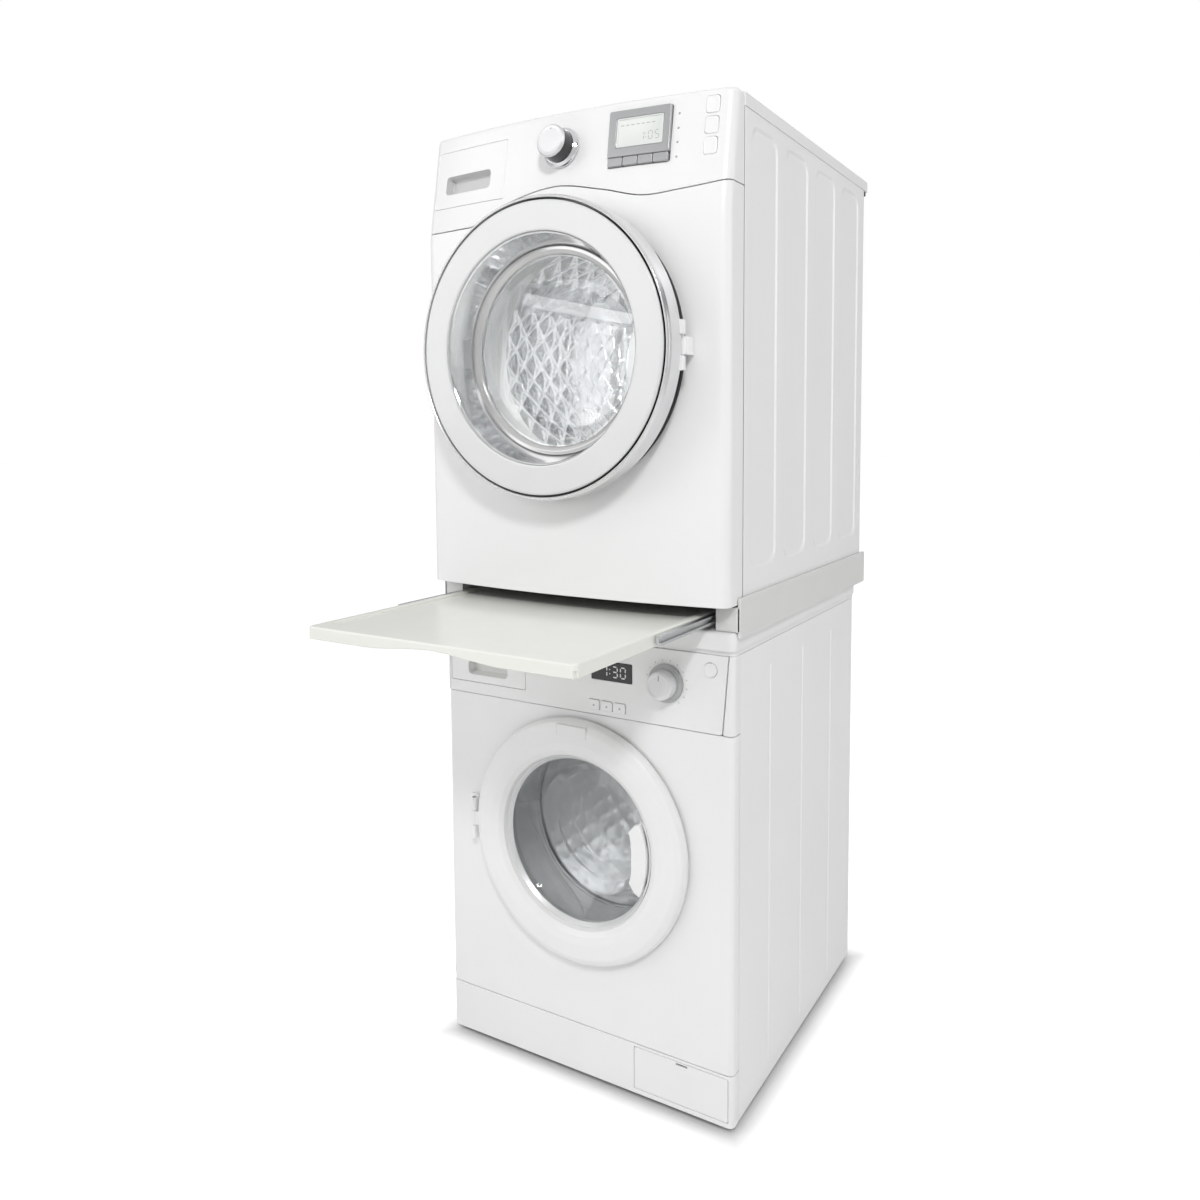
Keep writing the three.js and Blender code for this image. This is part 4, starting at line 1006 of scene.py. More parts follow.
def drum_shell(span, r, front, back, mouth, shape, rows, segments):
    """A drum as a thin shell: a lip, a wall shaped by shape(r, y, turn), and a pressed back."""
    wall = [(r, y) for y in rows]
    inner = [(mouth, front), (mouth + 4, front), (r - 6, front + 4)]
    rear = [(r - 8, back - 3), (0.86 * r, back - 3), (0.8 * r, back - 12), (0.52 * r, back - 14),
            (0.46 * r, back - 5), (0.2 * r, back - 5), (0.17 * r, back - 11), (0, back - 11)]
    outer = [(0, back), (r + 2.4, back), (r + 2.4, front), (mouth, front - 1.2)]
    return shifted(lathe(inner + wall + rear + outer, segments, shape), *on_axis(span))


def washer_drum():
    span = Span("washer_drum")
    r = span.size.x / 2 - 3
    front, back = span.low.y + 3, span.low.y + 320
    pitch = 30
    around = round(WHOLE_TURN * r / pitch)

    def dimples(radius, y, turn):
        """Rows of soft round dimples pressed into the wall."""
        if abs(radius - r) > 0.1:
            return radius
        row = (y - front) / pitch
        a = math.cos(WHOLE_TURN * row)
        b = math.cos(around * turn)
        return radius + 1.6 * max(0.0, 0.5 * (a + b)) ** 2

    rows = lines(front + 6, back - 8, 3)
    shape = drum_shell(span, r, front, back, 164, dimples, rows, around * 10)
    piece("washer_drum_shell", shape, TUB_STEEL, "washer_drum", ["washer_drum"], sharp=50)
    ribs = [lifter(r - 0.4, 30, 60, front + 12, back - 14, WHOLE_TURN * (i / 3 + 0.5)) for i in range(3)]
    piece("washer_lifters", shifted(merge(*ribs), *on_axis(span)), TUB_STEEL, "washer_drum", solidify=1)
    shaft = shifted(rod(15, back, span.high.y, 1), 0, 0, W_DOOR_Z)
    piece("washer_drum_shaft", shaft, STEEL, "washer_drum")


def plain_nodes():
    """Materials for the nodes that keep their simple shapes."""
    looks = {
        "washer_tub": GREY, "washer_stator": DARK_STEEL, "washer_rotor": DARK_STEEL,
        "washer_counterweight": CONCRETE, "washer_damper_left": DARK_STEEL,
        "washer_damper_right": DARK_STEEL, "dryer_base": DARK_STEEL, "dryer_motor": DARK_STEEL,
        "dryer_motor_pulley": STEEL, "dryer_belt": BLACK_RUBBER,
        "kit_rear_bar": PALE_GREY, "kit_slide_left": STEEL, "kit_slide_right": STEEL,
    }
    for node, look in looks.items():
        bpy.data.objects[node].material_slots[0].material = look["material"]


# ---------- Dryer: case ----------
def dryer_case():
    middles = [D_CASE.low.y + share * D_CASE.size.y for share in (0.131, 0.361, 0.599, 0.836)]
    foot, head = D_CASE.low.z + 50, D_CASE.high.z - 20
    half_width, r, depth, rise = 54, 28, 2.6, 5
    mid_z = (D_CASE.low.z + D_CASE.high.z) / 2
    back_x, back_z = 0.42 * D_CASE.size.x, 0.42 * D_CASE.size.z

    def press(y, z):
        """Four tall panels, pressed in inside a soft edge with round corners."""
        near = min(middles, key=lambda middle: abs(y - middle))
        out = box_distance(y - near, z - (foot + head) / 2, half_width, (head - foot) / 2, r)
        return depth * smooth_step(-out / rise)

    def back_press(x, z):
        """A wide panel pressed into the back."""
        return 2.2 * smooth_step(-box_distance(x, z - mid_z, back_x, back_z, 40) / 8)

    front, rear = D_CASE.low.y + 1.5, D_CASE.high.y - 5
    edges = [middle + side * (half_width - rise / 2) for middle in middles for side in (-1, 1)]
    ys = dense(front, rear - 8, 9, edges, 4, 0.8)
    rims = [mid_z - back_z + 4, mid_z + back_z - 4]
    zs = dense(D_CASE.low.z, D_CASE.high.z - 0.6, 36, [foot + 12, head - 12, *rims], 18, 1.2)
    high = Vector((D_CASE.high.x, rear, D_CASE.high.z))
    skin = case_wrap(high, 8, press, ys, zs, back_press)
    piece("dryer_case_skin", skin, ENAMEL, replaces=["dryer_cabinet"], solidify=1.2)
    dryer_back(rear)


def dryer_back(rear):
    """The back's cover with its slanted air slots, its screws and the cord gland."""
    low = D_CASE.low.z
    outline = rectangle(-150, 150, low + 150, low + 500, 30)
    slots = []
    for row in range(7):
        for column in range(4):
            x, z = -111 + 74 * column, low + 205 + 40 * row
            slot = [(x - 26, z - 4), (x - 18, z - 7), (x + 26, z + 4), (x + 18, z + 7)]
            slots.append(rounded(slot, 2.4, 4))
    cover = plate(outline, facing_back(rear + 3.4), 1.4, 0.6, slots)
    piece("dryer_vent_cover", cover, ENAMEL)
    backing = rectangle(-145, 145, low + 155, low + 495, 26)
    piece("dryer_vent_backing", plate(backing, facing_back(rear + 0.8), 2, 0.4), DARK_STEEL)
    spots = [(x, low + z) for x in (-140, 140) for z in (160, 490)]
    edge = D_CASE.high.x - 14
    spots += [(x, low + z) for x in (-edge, edge) for z in (40, 390, 740)]
    heads = [screw(x, rear + 3.8 if abs(x) < 200 else rear + 1, z, -1) for x, z in spots]
    piece("dryer_back_screws", merge(*heads), STEEL)
    piece("dryer_cord_inlet", gland(-4, (-220, rear, low + 117)), BLACK_RUBBER)


def dryer_top():
    outline = rectangle(D_TOP.low.x, D_TOP.high.x, D_TOP.low.y + 0.4, D_TOP.high.y, 5)
    slab = plate(outline, facing_up(D_TOP.high.z), D_TOP.size.z, 4, steps=5)
    piece("dryer_top_slab", slab, PLASTIC, replaces=["dryer_worktop"])
    bumpers = []
    for x in (D_TOP.low.x + 9, D_TOP.high.x - 9):
        outline = rectangle(x - 7, x + 7, D_TOP.low.z - 9, D_TOP.low.z - 0.4, 2)
        bumpers.append(plate(outline, facing_back(D_TOP.high.y - 8), 11.6, 1.4))
    piece("dryer_top_bumpers", merge(*bumpers), BLACK_RUBBER)


# ---------- Dryer: fronts ----------
LEAN = math.tan(math.radians(9))
FOLD = 1500  # the height at which the controls start to lean back
BOW = 24
BOW_MIDDLE = D_PANEL.low.y + 12


def dryer_face(x, z):
    """The bowed front's depth at x. It leans back above the fold."""
    return BOW_MIDDLE + BOW * (x / D_TOP.high.x) ** 2 + LEAN * max(0.0, z - FOLD)


D_SKIN = Front(D_PANEL.high.x, 18, dryer_face, D_PANEL.high.y, D_CONTROL.high.z, 9)


def wave(u):
    """The height of the seam between the controls and the front panel."""
    knots = [(-330, 1508), (-215, 1508), (-175, 1511), (-120, 1536), (-10, 1556), (80, 1542),
             (155, 1525), (215, 1528), (330, 1541)]
    x = min(max(u, -D_SKIN.half), D_SKIN.half)
    i = max(k for k in range(len(knots) - 1) if knots[k][0] <= x)
    slopes = []
    for k in (i, i + 1):
        a, b = knots[max(k - 1, 0)], knots[min(k + 1, len(knots) - 1)]
        slopes.append((b[1] - a[1]) / (b[0] - a[0]))
    width = knots[i + 1][0] - knots[i][0]
    t = (x - knots[i][0]) / width
    start, end = (1 + 2 * t) * (1 - t) ** 2, t * t * (3 - 2 * t)
    bend = t * (1 - t) ** 2 * slopes[0] - t * t * (1 - t) * slopes[1]
    return start * knots[i][1] + end * knots[i + 1][1] + bend * width


def wave_line(lift, step):
    reach = D_SKIN.reach
    return [(u, wave(u) + lift) for u in lines(-reach, reach, step)]


def dryer_front():
    """The bowed front panel, the collar round its opening, and a black ring of painted shade behind the
    door's side band.
    """
    low = D_PANEL.low.z
    reach = D_SKIN.reach
    outline = [(-reach, low), (reach, low)] + wave_line(-0.8, 6)[::-1]
    r = 192
    hole = circle(r, 0, D_DOOR_Z, 200)
    rows = lines(low + 12, FOLD + 50, 18)
    skin = plate(outline, D_SKIN, 4, 1.2, [hole], D_SKIN.columns(12), rows, 7)
    piece("dryer_front_skin", skin, ENAMEL, replaces=["dryer_front_panel"])
    face = D_PANEL.low.y
    collar = [(r, face, 3), (226, face, 6), (230, face + 8, 6), (230, face + 34), (r, face + 34)]
    turned(collar, "dryer_door_collar", ENAMEL, FIXED, segments=224, radius=1)
    # Painted shade: a thin black ring at the back of the collar stands in for the dark shadow gap behind the
    # door's side band.
    shade_ring = from_door((230.3, 61), (233.4, 61.6, 1), (233.4, 68, 1), (230.3, 68.6))
    turned(shade_ring, "dryer_collar_shade_ring", BLACK_RUBBER, FIXED)


def panel_frame(x, z):
    """The frame of a control on the leaning panel. Its Y axis points into the panel."""
    slope = 2 * BOW * x / D_TOP.high.x**2
    across = Vector((1, slope, 0)).normalized()
    into = Vector((-slope, 1, -LEAN)).normalized()
    up = across.cross(into)
    matrix = Matrix((across, into, up)).transposed().to_4x4()
    matrix.translation = (x, dryer_face(x, z), z)
    return matrix


DISPLAY_X = 145
DRAWER = Span("dryer_water_drawer")
OPTIONS = [(264, CONTROLS_Z + rise) for rise in (37, 5, -27)]


def dryer_panel():
    """The leaning control panel with its openings, rolled over at the top."""
    bend = D_CONTROL.high.z - D_SKIN.cap
    top = bend + D_SKIN.cap * math.pi / 2
    reach = D_SKIN.reach
    outline = wave_line(0.8, 6) + [(reach, top), (-reach, top)]
    low, high = DRAWER.low, DRAWER.high
    drawer = rectangle(low.x - 0.3, high.x + 0.3, low.z - 0.5, high.z + 0.3, 3)
    display = rectangle(DISPLAY_X - 54.3, DISPLAY_X + 54.3, CONTROLS_Z - 45.2, CONTROLS_Z + 44.6, 4)
    holes = [drawer, display, circle(6, 0, CONTROLS_Z, 48)]
    holes += [rectangle(x - 11.3, x + 11.3, z - 13.7, z + 13.7, 6) for x, z in OPTIONS]
    rows = lines(FOLD + 14, bend, 14) + lines(bend, top, 1.6)[1:-1]
    skin = plate(outline, D_SKIN, 4, 1, holes, D_SKIN.columns(12), rows, 5)
    piece("dryer_panel_skin", skin, PLASTIC, replaces=["dryer_control_panel"])
    loop = [D_SKIN(u, top, 0)[:2] for u in [-reach, *D_SKIN.columns(7.95), reach]]
    piece("dryer_panel_lid", plate(loop, facing_up(D_CONTROL.high.z), 3, 0.1), PLASTIC)


def water_drawer():
    """The water tank's drawer: a bowed face with a finger pocket painted grey for the shade in it, and the
    tank behind it.
    """
    grip = rectangle(-261, -152, CONTROLS_Z - 44, CONTROLS_Z - 12, 8)
    low, high = DRAWER.low, DRAWER.high
    columns = [u for u in D_SKIN.columns(10) if low.x < u < high.x]
    rows = lines(low.z + 8, high.z - 8, 12)
    face = plate(DRAWER.outline(3), D_SKIN, 20, 1.1, [grip], columns, rows, 5)
    piece("water_drawer_face", face, PLASTIC, "water_drawer", ["dryer_water_drawer"])
    # The pocket's grey is painted shade for its recess.
    hollow = pocket(finer(grip, 5), 14, 6, lambda u, v, depth: D_SKIN(u, v, depth + 0.8))
    piece("water_drawer_pocket", hollow, POCKET_SHADE, "water_drawer")
    front, rim = high.y - 417, high.z - 6
    tank = rectangle(low.x + 7, high.x - 7, front, high.y, 12)
    well = rectangle(low.x + 10.4, high.x - 10.4, front + 5, high.y - 3, 10)
    walls = plate(tank, facing_up(rim), rim - low.z - 26, 1, [well])
    bottom = plate(tank, facing_up(low.z + 29), 3, 1)
    strut = rectangle(low.x + 16, high.x - 16, BOW_MIDDLE + 50, front + 2, 2)
    bridge = plate(strut, facing_up(rim - 8), 46, 1)
    piece("water_tank", merge(walls, bottom, bridge), PALE_GREY, "water_drawer")


def dryer_dial():
    """The programme knob: a spun bright face on a side given glossy black as a painted dark reflection, in a
    chrome base ring.
    """
    place = panel_frame(0, CONTROLS_Z)
    face = [(0, -33.4, 0), (20, -33.6, 4), (24, -34, 1), (26.6, -31.4), (26.6, -29), (0, -29, 0)]
    disc = moved(spun(face, 0.6, 4, 128), place)
    piece("dryer_knob_face", disc, SPUN, "dryer_knob", ["dryer_knob"])
    # Painted reflection: the side is glossy black to stand in for the dark reflection on the knob's chrome
    # side.
    side = [(0, -29.6, 0), (26.2, -29.6), (27.4, -9), (27.4, -6), (0, -6, 0)]
    piece("dryer_knob_side_dark_reflection", moved(spun(side, 0.8, 4, 128), place), BLACK, "dryer_knob")
    base = [(26, -8.6), (28.4, -9, 0.6), (32.6, -6), (34, -3.6), (34, -1.2), (26, -1.2)]
    piece("dryer_knob_ring", moved(spun(base, 0.8, 4, 128), place), CHROME, "dryer_knob")
    piece("dryer_knob_shaft", moved(rod(5, -6, 15.6), place), GREY, "dryer_knob")
    dot = [(0, -34.1, 0), (1.6, -34), (1.6, -33), (0, -33, 0)]
    mark = moved(spun(dot, 0.2, 2, 24, (0, 0.3, 19)), place)
    piece("dryer_knob_mark", mark, BEZEL, "dryer_knob")


def dryer_window():
    """The display: a grey bezel, a frame one step down and a pale screen with plain dark bars."""
    place = panel_frame(DISPLAY_X, CONTROLS_Z)
    screen = rectangle(-40, 42, -16, 32, 3)
    bezel = plate(rectangle(-54, 54, -30.5, 45, 4), facing_front(-5), 12.6, 1.6, [screen], steps=4)
    piece("display_bezel", moved(bezel, place), BEZEL, replaces=["dryer_display"])
    rim = rectangle(-39.6, 41.6, -15.6, 31.6, 2.8)
    step = plate(rim, facing_front(-4.4), 3, 0.5, [rectangle(-37, 39, -13, 29, 2)])
    piece("display_frame", moved(step, place), SILVER)
    piece("display_screen", moved(plate(rim, facing_front(-3.4), 2, 0.2), place), SCREEN)
    lit = []
    for i, digit in enumerate("105"):
        lit += bars(digit, 2 + 11.5 * i + (3 if i else 0), -7, 6.4, 13, 1.3)
    lit += [circle(0.8, 12, z, 12) for z in (-3, 2.6)]
    lit += [rectangle(-33 + 9 * i, -27 + 9 * i, 19, 20.4, 0.5, 2) for i in range(7)]
    shapes = [plate(loop, facing_front(-3.46), 0.3, 0.03) for loop in lit]
    piece("display_bars", moved(merge(*shapes), place), GREY)


def soft_keys():
    place = panel_frame(DISPLAY_X, CONTROLS_Z)
    for i in range(1, 5):
        middle = (i - 2.5) * 26.5
        outline = rectangle(middle - 12.7, middle + 12.7, -45, -31.3, 2)
        key = moved(plate(outline, facing_front(-4.5), 12, 1.1, steps=4), place)
        piece(f"soft_key_{i}", key, BEZEL, f"soft_button_{i}", [f"dryer_soft_button_{i}"])


def option_keys():
    """Three faint keys at the right, each a rim round a separate middle, and four small lamps."""
    dish = rectangle(-7, 7, -9.5, 9.5, 4)
    key = plate(rectangle(-11, 11, -13.5, 13.5, 6), facing_front(-0.6), 12, 1, [dish], steps=4)
    middle = plate([(u * 1.03, v * 1.03) for u, v in dish], facing_front(-0.3), 8, 0.3)
    for i, place in enumerate(OPTIONS, 1):
        shape = moved(merge(key, middle), panel_frame(*place))
        piece(f"option_key_{i}", shape, RING_WHITE, f"option_button_{i}", [f"dryer_option_button_{i}"])
    dome = spun([(0, -0.7, 0), (1.5, -0.5), (2.2, 0.4), (0, 0.4, 0)], 0.3, 3, 24)
    lamps = [moved(dome, panel_frame(210, CONTROLS_Z + rise)) for rise in (29, 6, -16, -39)]
    piece("option_lamps", merge(*lamps), BEZEL)


# ---------- Dryer: door ----------
def dryer_door():
    """The door's pearl face ring, satin side band, chrome cone, glass bowl and latch plate."""
    face = from_door((184.6, 4), (185.2, 0.8, 1), (187.5, 0, 2), (210, 0), (229, 0.2, 4), (232.2, 1.8, 2),
                     (232.6, 4), (232.6, 14), (229, 14), (229, 8), (190, 8), (190, 14), (184.6, 14))
    turned(face, "door_face_ring", PEARL, "dryer_door", ["dryer_door_ring"], 288)
    band = from_door((237.4, 3.6), (238.6, 2.4), (240.8, 4.6, 2), (242, 10, 4), (242, 40), (237.4, 40))
    turned(band, "door_side_band", SATIN_CHROME, "dryer_door", segments=288)
    # The groove between the face ring and the side band is real; its black is painted shade for the dark gap
    # line there.
    groove = from_door((232.7, 3.2), (233.3, 3.7), (233.3, 11), (237.3, 11), (237.3, 13), (232.7, 13))
    turned(groove, "door_band_groove_shade", BLACK, "dryer_door", segments=200)
    liner = from_door((236.5, 2.4), (237.3, 2.4), (237.3, 10.6), (236.5, 10.6))
    turned(liner, "door_band_liner", RING_WHITE, "dryer_door", segments=200, radius=0.2)
    inner = from_door((229, 16), (237, 16), (237, 36), (231, 38), (184.8, 33), (184.8, 28), (229, 32))
    turned(inner, "door_inner_pan", GREY, "dryer_door", segments=160)
    cone = from_door((181.4, 5.6, 0.5), (183.8, 3.2, 1.5), (184.3, 6), (184.3, 48, 6), (172, 64, 5),
                     (158, 64), (158, 60.6), (167.8, 60.6), (170, 51, 4))
    turned(cone, "door_trim_cone", CHROME, "dryer_door", ["dryer_door_trim"], 288)
    rim = from_door((169.6, 50.8), (168.6, 47.6, 2), (163, 47.4, 3), (157.5, 50.6, 2), (155.4, 53),
                    (157, 57), (169.6, 57))
    turned(rim, "door_glass_rim", RIM_WHITE, "dryer_door", segments=240)
    dryer_glass()
    latch()
    dryer_hinge()


def dryer_glass():
    bowl = from_door((0, 124, 0), (60, 122.6, 40), (93, 119.4, 20), (122, 107, 18), (143.5, 70, 12),
                     (151, 52.6, 4), (157.6, 52.2), (157.6, 56), (153, 57.6), (148.6, 73, 10),
                     (127, 112, 20), (96, 125.4, 20), (60, 129, 40), (0, 130, 0))
    turned(bowl, "door_glass_bowl", GLASS, "dryer_door", ["dryer_door_glass"], 224, 2)


def latch():
    """The small dark latch plate on the cone, at the door's free side."""
    rim, rim_depth, taper, lift = 181.4, 5.6, 0.2512, 0.4

    def cone_side(u, v, depth):
        """u runs along the door's axis and v round the cone, at the side away from the hinge."""
        radius = rim - (u - rim_depth) * taper - lift + depth
        turn = v / 176
        return -radius * math.cos(turn), D_RING.low.y + u, D_DOOR_Z + radius * math.sin(turn)

    outline = rectangle(30, 45, -25, 25, 2.5)
    shape = plate(outline, cone_side, 1.6, 0.4, vs=lines(-20, 20, 4), step=4)
    piece("door_latch_plate", shape, GREY, "dryer_door")


def dryer_hinge():
    span = Span("dryer_door_hinge")
    x, y, _ = JOINTS["dryer_door_hinge"]
    z = D_DOOR_Z
    barrel, pin = upright(5.8, 13.8, x, y, z), upright(2.9, 37, x, y, z)
    bracket = plate(rectangle(x - 5, x + 8, z - 13.8, z + 13.8, 2), facing_front(y), span.high.y - y, 0.8)
    piece("dryer_hinge_bracket", merge(barrel, pin, bracket), ENAMEL, replaces=["dryer_door_hinge"])
    shapes = []
    for lug_z in (z - 27, z + 27):
        outline = rectangle(x - 6, x + 8, lug_z - 11, lug_z + 11, 2)
        shapes.append(plate(outline, facing_front(D_RING.low.y + 36), 9, 0.8))
    piece("dryer_hinge_lugs", merge(*shapes), ENAMEL, "dryer_door")


# ---------- Dryer: works ----------
def dryer_seal():
    front = Span("dryer_drum_seal").low.y
    duct = [(185.2, 0), (189.3, 0), (189.3, 82, 3), (213.6, 102, 3), (213.6, 106), (204.4, 106),
            (185.2, 88, 3)]
    profile = [(r, front + y, *own) for r, y, *own in duct]
    turned(profile, "dryer_drum_duct", PALE_GREY, FIXED, ["dryer_drum_seal"])


def dryer_drum():
    """The drum: a wall of pressed diamonds, a pressed back and three ribs."""
    span = Span("dryer_drum")
    r = 272
    front, back = span.low.y + 3, span.low.y + 494
    around = 30
    pitch = WHOLE_TURN * r / around

    def diamonds(radius, y, turn):
        """Four-sided pillows that meet along crossed lines."""
        if abs(radius - r) > 0.1:
            return radius
        a = around * turn / WHOLE_TURN
        b = (y - front) / pitch
        s, t = (a + b) % 1.0, (a - b) % 1.0
        rise = min(s, 1 - s, t, 1 - t) * 2
        return radius - 9 * rise**0.85

    rows = lines(front + 6, back - 8, 4)
    shape = drum_shell(span, r, front, back, 206, diamonds, rows, around * 18)
    piece("dryer_drum_shell", shape, DRUM_STEEL, "dryer_drum", ["dryer_drum"], sharp=60)
    ribs = [lifter(r - 0.4, 36, 70, front + 12, back - 14, WHOLE_TURN * (i / 3 + 0.5)) for i in range(3)]
    piece("dryer_lifters", shifted(merge(*ribs), *on_axis(span)), DRUM_STEEL, "dryer_drum", solidify=1)
    disc = [(0, -24, 0), (60, -24), (90, -19), (200, -17), (236, -15), (240, -13), (0, -13, 0)]
    disc = [(reach, back + y, *own) for reach, y, *own in disc]
    turned(disc, "dryer_drum_back", BACK_STEEL, "dryer_drum", segments=160, radius=6)
    shaft = shifted(rod(12, back, span.high.y, 1), 0, 0, D_DOOR_Z)
    piece("dryer_drum_shaft", shaft, STEEL, "dryer_drum")


# ---------- Stacking frame ----------
def rails():
    """Each side of the stacking frame: a long skirt over both machines' edges, and a hollow beam."""
    for side, name in ((-1, "left"), (1, "right")):
        span = Span(f"kit_{name}_rail")
        outer = abs(span.high.x if side > 0 else span.low.x)
        inner = abs(span.low.x if side > 0 else span.high.x)
        outline = rectangle(span.low.y, span.high.y, span.low.z, span.high.z, 5)
        skirt = plate(outline, facing_right(outer), 4.4, 1.6, steps=4)
        low, high = W_TOP.high.z + 0.4, W_TOP.high.z + 40.6
        nose = rectangle(inner, outer - 0.8, low, high, 3)
        front = plate(nose, facing_front(span.low.y), 4, 1.4, steps=4)
        deck = rectangle(inner, 299.8, span.low.y + 1, span.high.y - 60, 2)
        beams = [plate(deck, facing_up(z), 4, 0.6) for z in (low + 4, high)]
        wall = rectangle(span.low.y + 1, span.high.y - 60, low, high, 2)
        web = plate(wall, lambda u, v, depth: (inner + depth, u, v), 4, 0.6)
        vertices, faces = merge(skirt, front, *beams, web)
        mirrored = [(side * x, y, z) for x, y, z in vertices], faces
        piece(f"kit_rail_{name}", mirrored, PALE_GREY, replaces=[f"kit_{name}_rail"])


def shelf():
    """The pull-out board: a rim round a shallow dish, side skirts, ribs and a curved grip in front."""
    span = Span("kit_shelf")
    low, high = span.low, span.high
    outer = rectangle(low.x, high.x, low.y, high.y, 10)
    dish = rectangle(low.x + 14, high.x - 14, low.y + 34, high.y - 12, 8)
    rim = plate(outer, facing_up(high.z), 9, 3, [dish], steps=5)
    bottom = rectangle(low.x + 10, high.x - 10, low.y + 30, high.y - 8)
    board = plate(bottom, facing_up(high.z - 4), 4, 0.4)
    foot, under = low.z, high.z - 5
    scoop = [(130 * t, foot + 9 * smooth_step(1 - abs(t))) for t in lines(-1, 1, 0.05)]
    left, right = low.x + 4, high.x - 4
    front = [(left, under), (left, foot)] + scoop + [(right, foot), (right, under)]
    lip = plate(front, facing_front(low.y + 0.2), 26, 2, steps=4)
    sides = []
    for x in (low.x, high.x - 10):
        skirt = rectangle(low.y + 6, high.y - 6, foot, under, 3)
        sides.append(plate(skirt, facing_right(x + 9.8), 9.6, 1.6))
    back = rectangle(low.x + 6, high.x - 6, foot, under, 3)
    sides.append(plate(back, facing_back(high.y - 0.2), 10, 1.6))
    for i in range(3):
        x = low.x + 126 + 118 * i
        rib = rectangle(x - 3, x + 3, low.y + 24, high.y - 8)
        sides.append(plate(rib, facing_up(high.z - 7), high.z - foot - 8, 0.4))
    piece("shelf_board", merge(rim, board, lip, *sides), CREAM, "shelf", ["kit_shelf"])


# ---------- Build ----------
for build in (washer_case, washer_plinth, washer_feet, washer_front, washer_top, filter_door,
              washer_fascia, washer_detergent, washer_dial, program_marks, washer_window, washer_keys,
              washer_door, washer_seal, washer_drum, plain_nodes, dryer_case, dryer_top, dryer_front,
              dryer_panel, water_drawer, dryer_dial, dryer_window, soft_keys, option_keys,
              dryer_door, dryer_seal, dryer_drum, rails, shelf):
    build()


# ---------- Stage ----------
def floor_glow(look):
    """A faint glow that only the camera sees, and that fades out near the washer's footprint."""
    nodes, link = look["nodes"], look["link"]

    def math_node(operation, first, second=None, socket=None):
        node = nodes.new("ShaderNodeMath")
        node.operation = operation
        link(first, node.inputs[0])
        if second is not None:
            node.inputs[1].default_value = second
        if socket is not None:
            link(socket, node.inputs[1])
        return node.outputs["Value"]

    place = nodes.new("ShaderNodeNewGeometry")
    split = nodes.new("ShaderNodeSeparateXYZ")
    link(place.outputs["Position"], split.inputs["Vector"])
    across = math_node("SUBTRACT", math_node("ABSOLUTE", split.outputs["X"]), W_CASE.high.x * MM)
    middle = (W_FRONT + W_CASE.high.y) / 2 * MM
    from_middle = math_node("ABSOLUTE", math_node("SUBTRACT", split.outputs["Y"], middle))
    along = math_node("SUBTRACT", from_middle, W_CASE.high.y * MM - middle)
    fade = nodes.new("ShaderNodeMapRange")
    fade.interpolation_type = "SMOOTHSTEP"
    link(math_node("MAXIMUM", across, socket=along), fade.inputs["Value"])
    set_inputs(fade, {"From Min": -0.01, "From Max": 0.06, "To Max": 0.52})
    path = nodes.new("ShaderNodeLightPath")
    glow = math_node("MULTIPLY", fade.outputs["Result"], socket=path.outputs["Is Camera Ray"])
    link(glow, look["shader"].inputs["Emission Strength"])


def floor():
    mesh = bpy.data.meshes.new("floor")
    reach = 30.0
    corners = [(-reach, -reach, 0), (reach, -reach, 0), (reach, reach, 0), (-reach, reach, 0)]
    mesh.from_pydata(corners, [], [(0, 1, 2, 3)])
    obj = add_object("floor", mesh)
    look = new_look("studio_floor", "white_enamel", (0.92, 0.92, 0.92), 0.75)
    set_inputs(look["shader"], {"Specular IOR Level": 0.1, "Emission Color": (1, 1, 1, 1)})
    floor_glow(look)
    mesh.materials.append(look["material"])


def lamp(name, place, aim, size, power):
    """A soft square studio lamp that the camera doesn't see. Its places are in metres."""
    light = bpy.data.lights.new(name, "AREA")
    light.shape = "RECTANGLE"
    light.size = light.size_y = size
    light.energy = power
    obj = add_object(name, light)
    obj.location = place
    obj.rotation_euler = (Vector(aim) - Vector(place)).to_track_quat("-Z", "Y").to_euler()
    obj.visible_camera = False


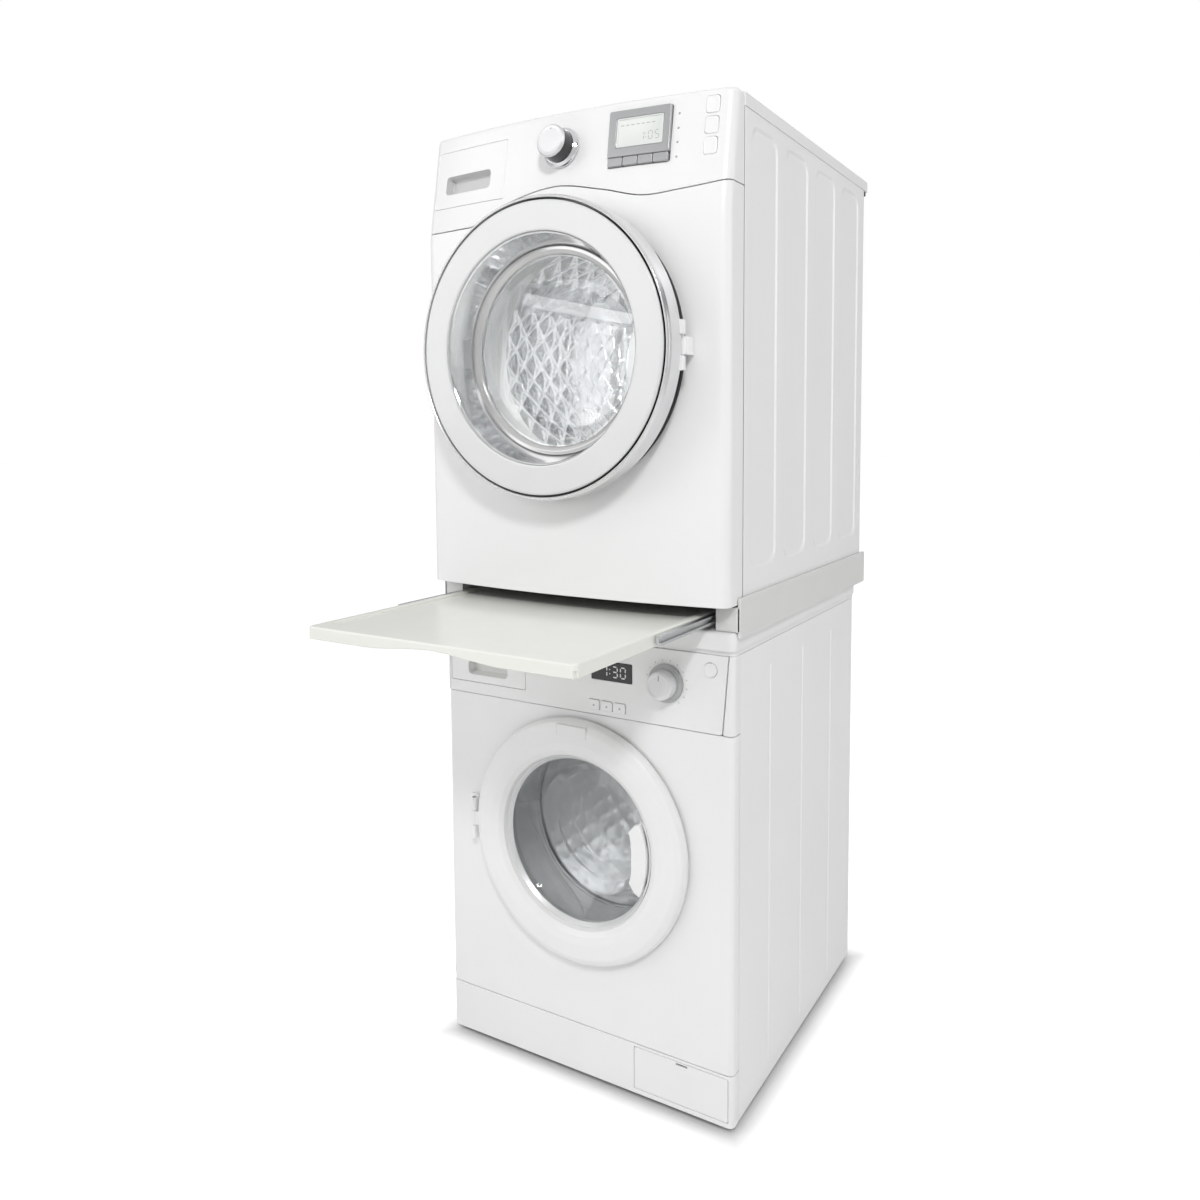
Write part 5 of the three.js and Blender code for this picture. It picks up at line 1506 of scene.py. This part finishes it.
def studio():
    """White surroundings for the camera, and softer grey ones with a dark band for what reflects."""
    world = bpy.data.worlds.new("studio")
    bpy.context.scene.world = world
    world.use_nodes = True
    nodes, link = world.node_tree.nodes, world.node_tree.links.new
    back = nodes["Background"]
    set_inputs(back, {"Color": (1, 1, 1, 1), "Strength": 1.0})
    where = nodes.new("ShaderNodeTexCoord")
    split = nodes.new("ShaderNodeSeparateXYZ")
    ramp = nodes.new("ShaderNodeValToRGB")
    link(where.outputs["Generated"], split.inputs["Vector"])
    link(split.outputs["Z"], ramp.inputs["Fac"])
    stops = ((0.0, 0.95), (0.3, 0.95), (0.4, 0.3), (0.52, 0.3), (0.6, 1.1), (1.0, 1.3))
    for position, _ in stops[1:-1]:
        ramp.color_ramp.elements.new(position)
    place_stops(ramp, [(position, (grey, grey, grey)) for position, grey in stops])
    soft = nodes.new("ShaderNodeBackground")
    soft.inputs["Strength"].default_value = 0.57
    link(ramp.outputs["Color"], soft.inputs["Color"])
    path = nodes.new("ShaderNodeLightPath")
    mix = nodes.new("ShaderNodeMixShader")
    link(path.outputs["Is Camera Ray"], mix.inputs["Fac"])
    link(soft.outputs["Background"], mix.inputs[1])
    link(back.outputs["Background"], mix.inputs[2])
    link(mix.outputs["Shader"], nodes["World Output"].inputs["Surface"])
    lamp("left", (-2.4, -2.8, 2.4), (0, 0, 1.3), 2.6, 40)
    lamp("key", (1.7, -2.6, 3.2), (0, 0, 0.9), 0.5, 50)
    lamp("side", (3.6, 0.6, 1.8), (0, 0.2, 1.4), 2.0, 14)
    lower, upper = W_DOOR_Z * MM, D_DOOR_Z * MM
    lamp("dryer_drum", (-0.04, D_TRIM.high.y * MM + 0.1, upper + 0.13), (0.05, 0.45, upper - 0.1), 0.1, 2.2)
    lamp("washer_drum", (0, W_FRONT * MM + 0.16, lower + 0.14), (0, 0.28, lower - 0.06), 0.1, 0.7)
    bpy.context.scene.view_settings.view_transform = "Standard"


def camera():
    lens = bpy.data.cameras.new("camera")
    lens.lens = 28.13
    lens.sensor_width = 36
    lens.shift_x = -0.0734
    lens.shift_y = -0.09
    obj = add_object("camera", lens)
    obj.location = (0.9196, -1.4654, 1.1683)
    obj.rotation_euler = (math.radians(85.9), 0, math.radians(28.1))
    bpy.context.scene.camera = obj


floor()
studio()
camera()
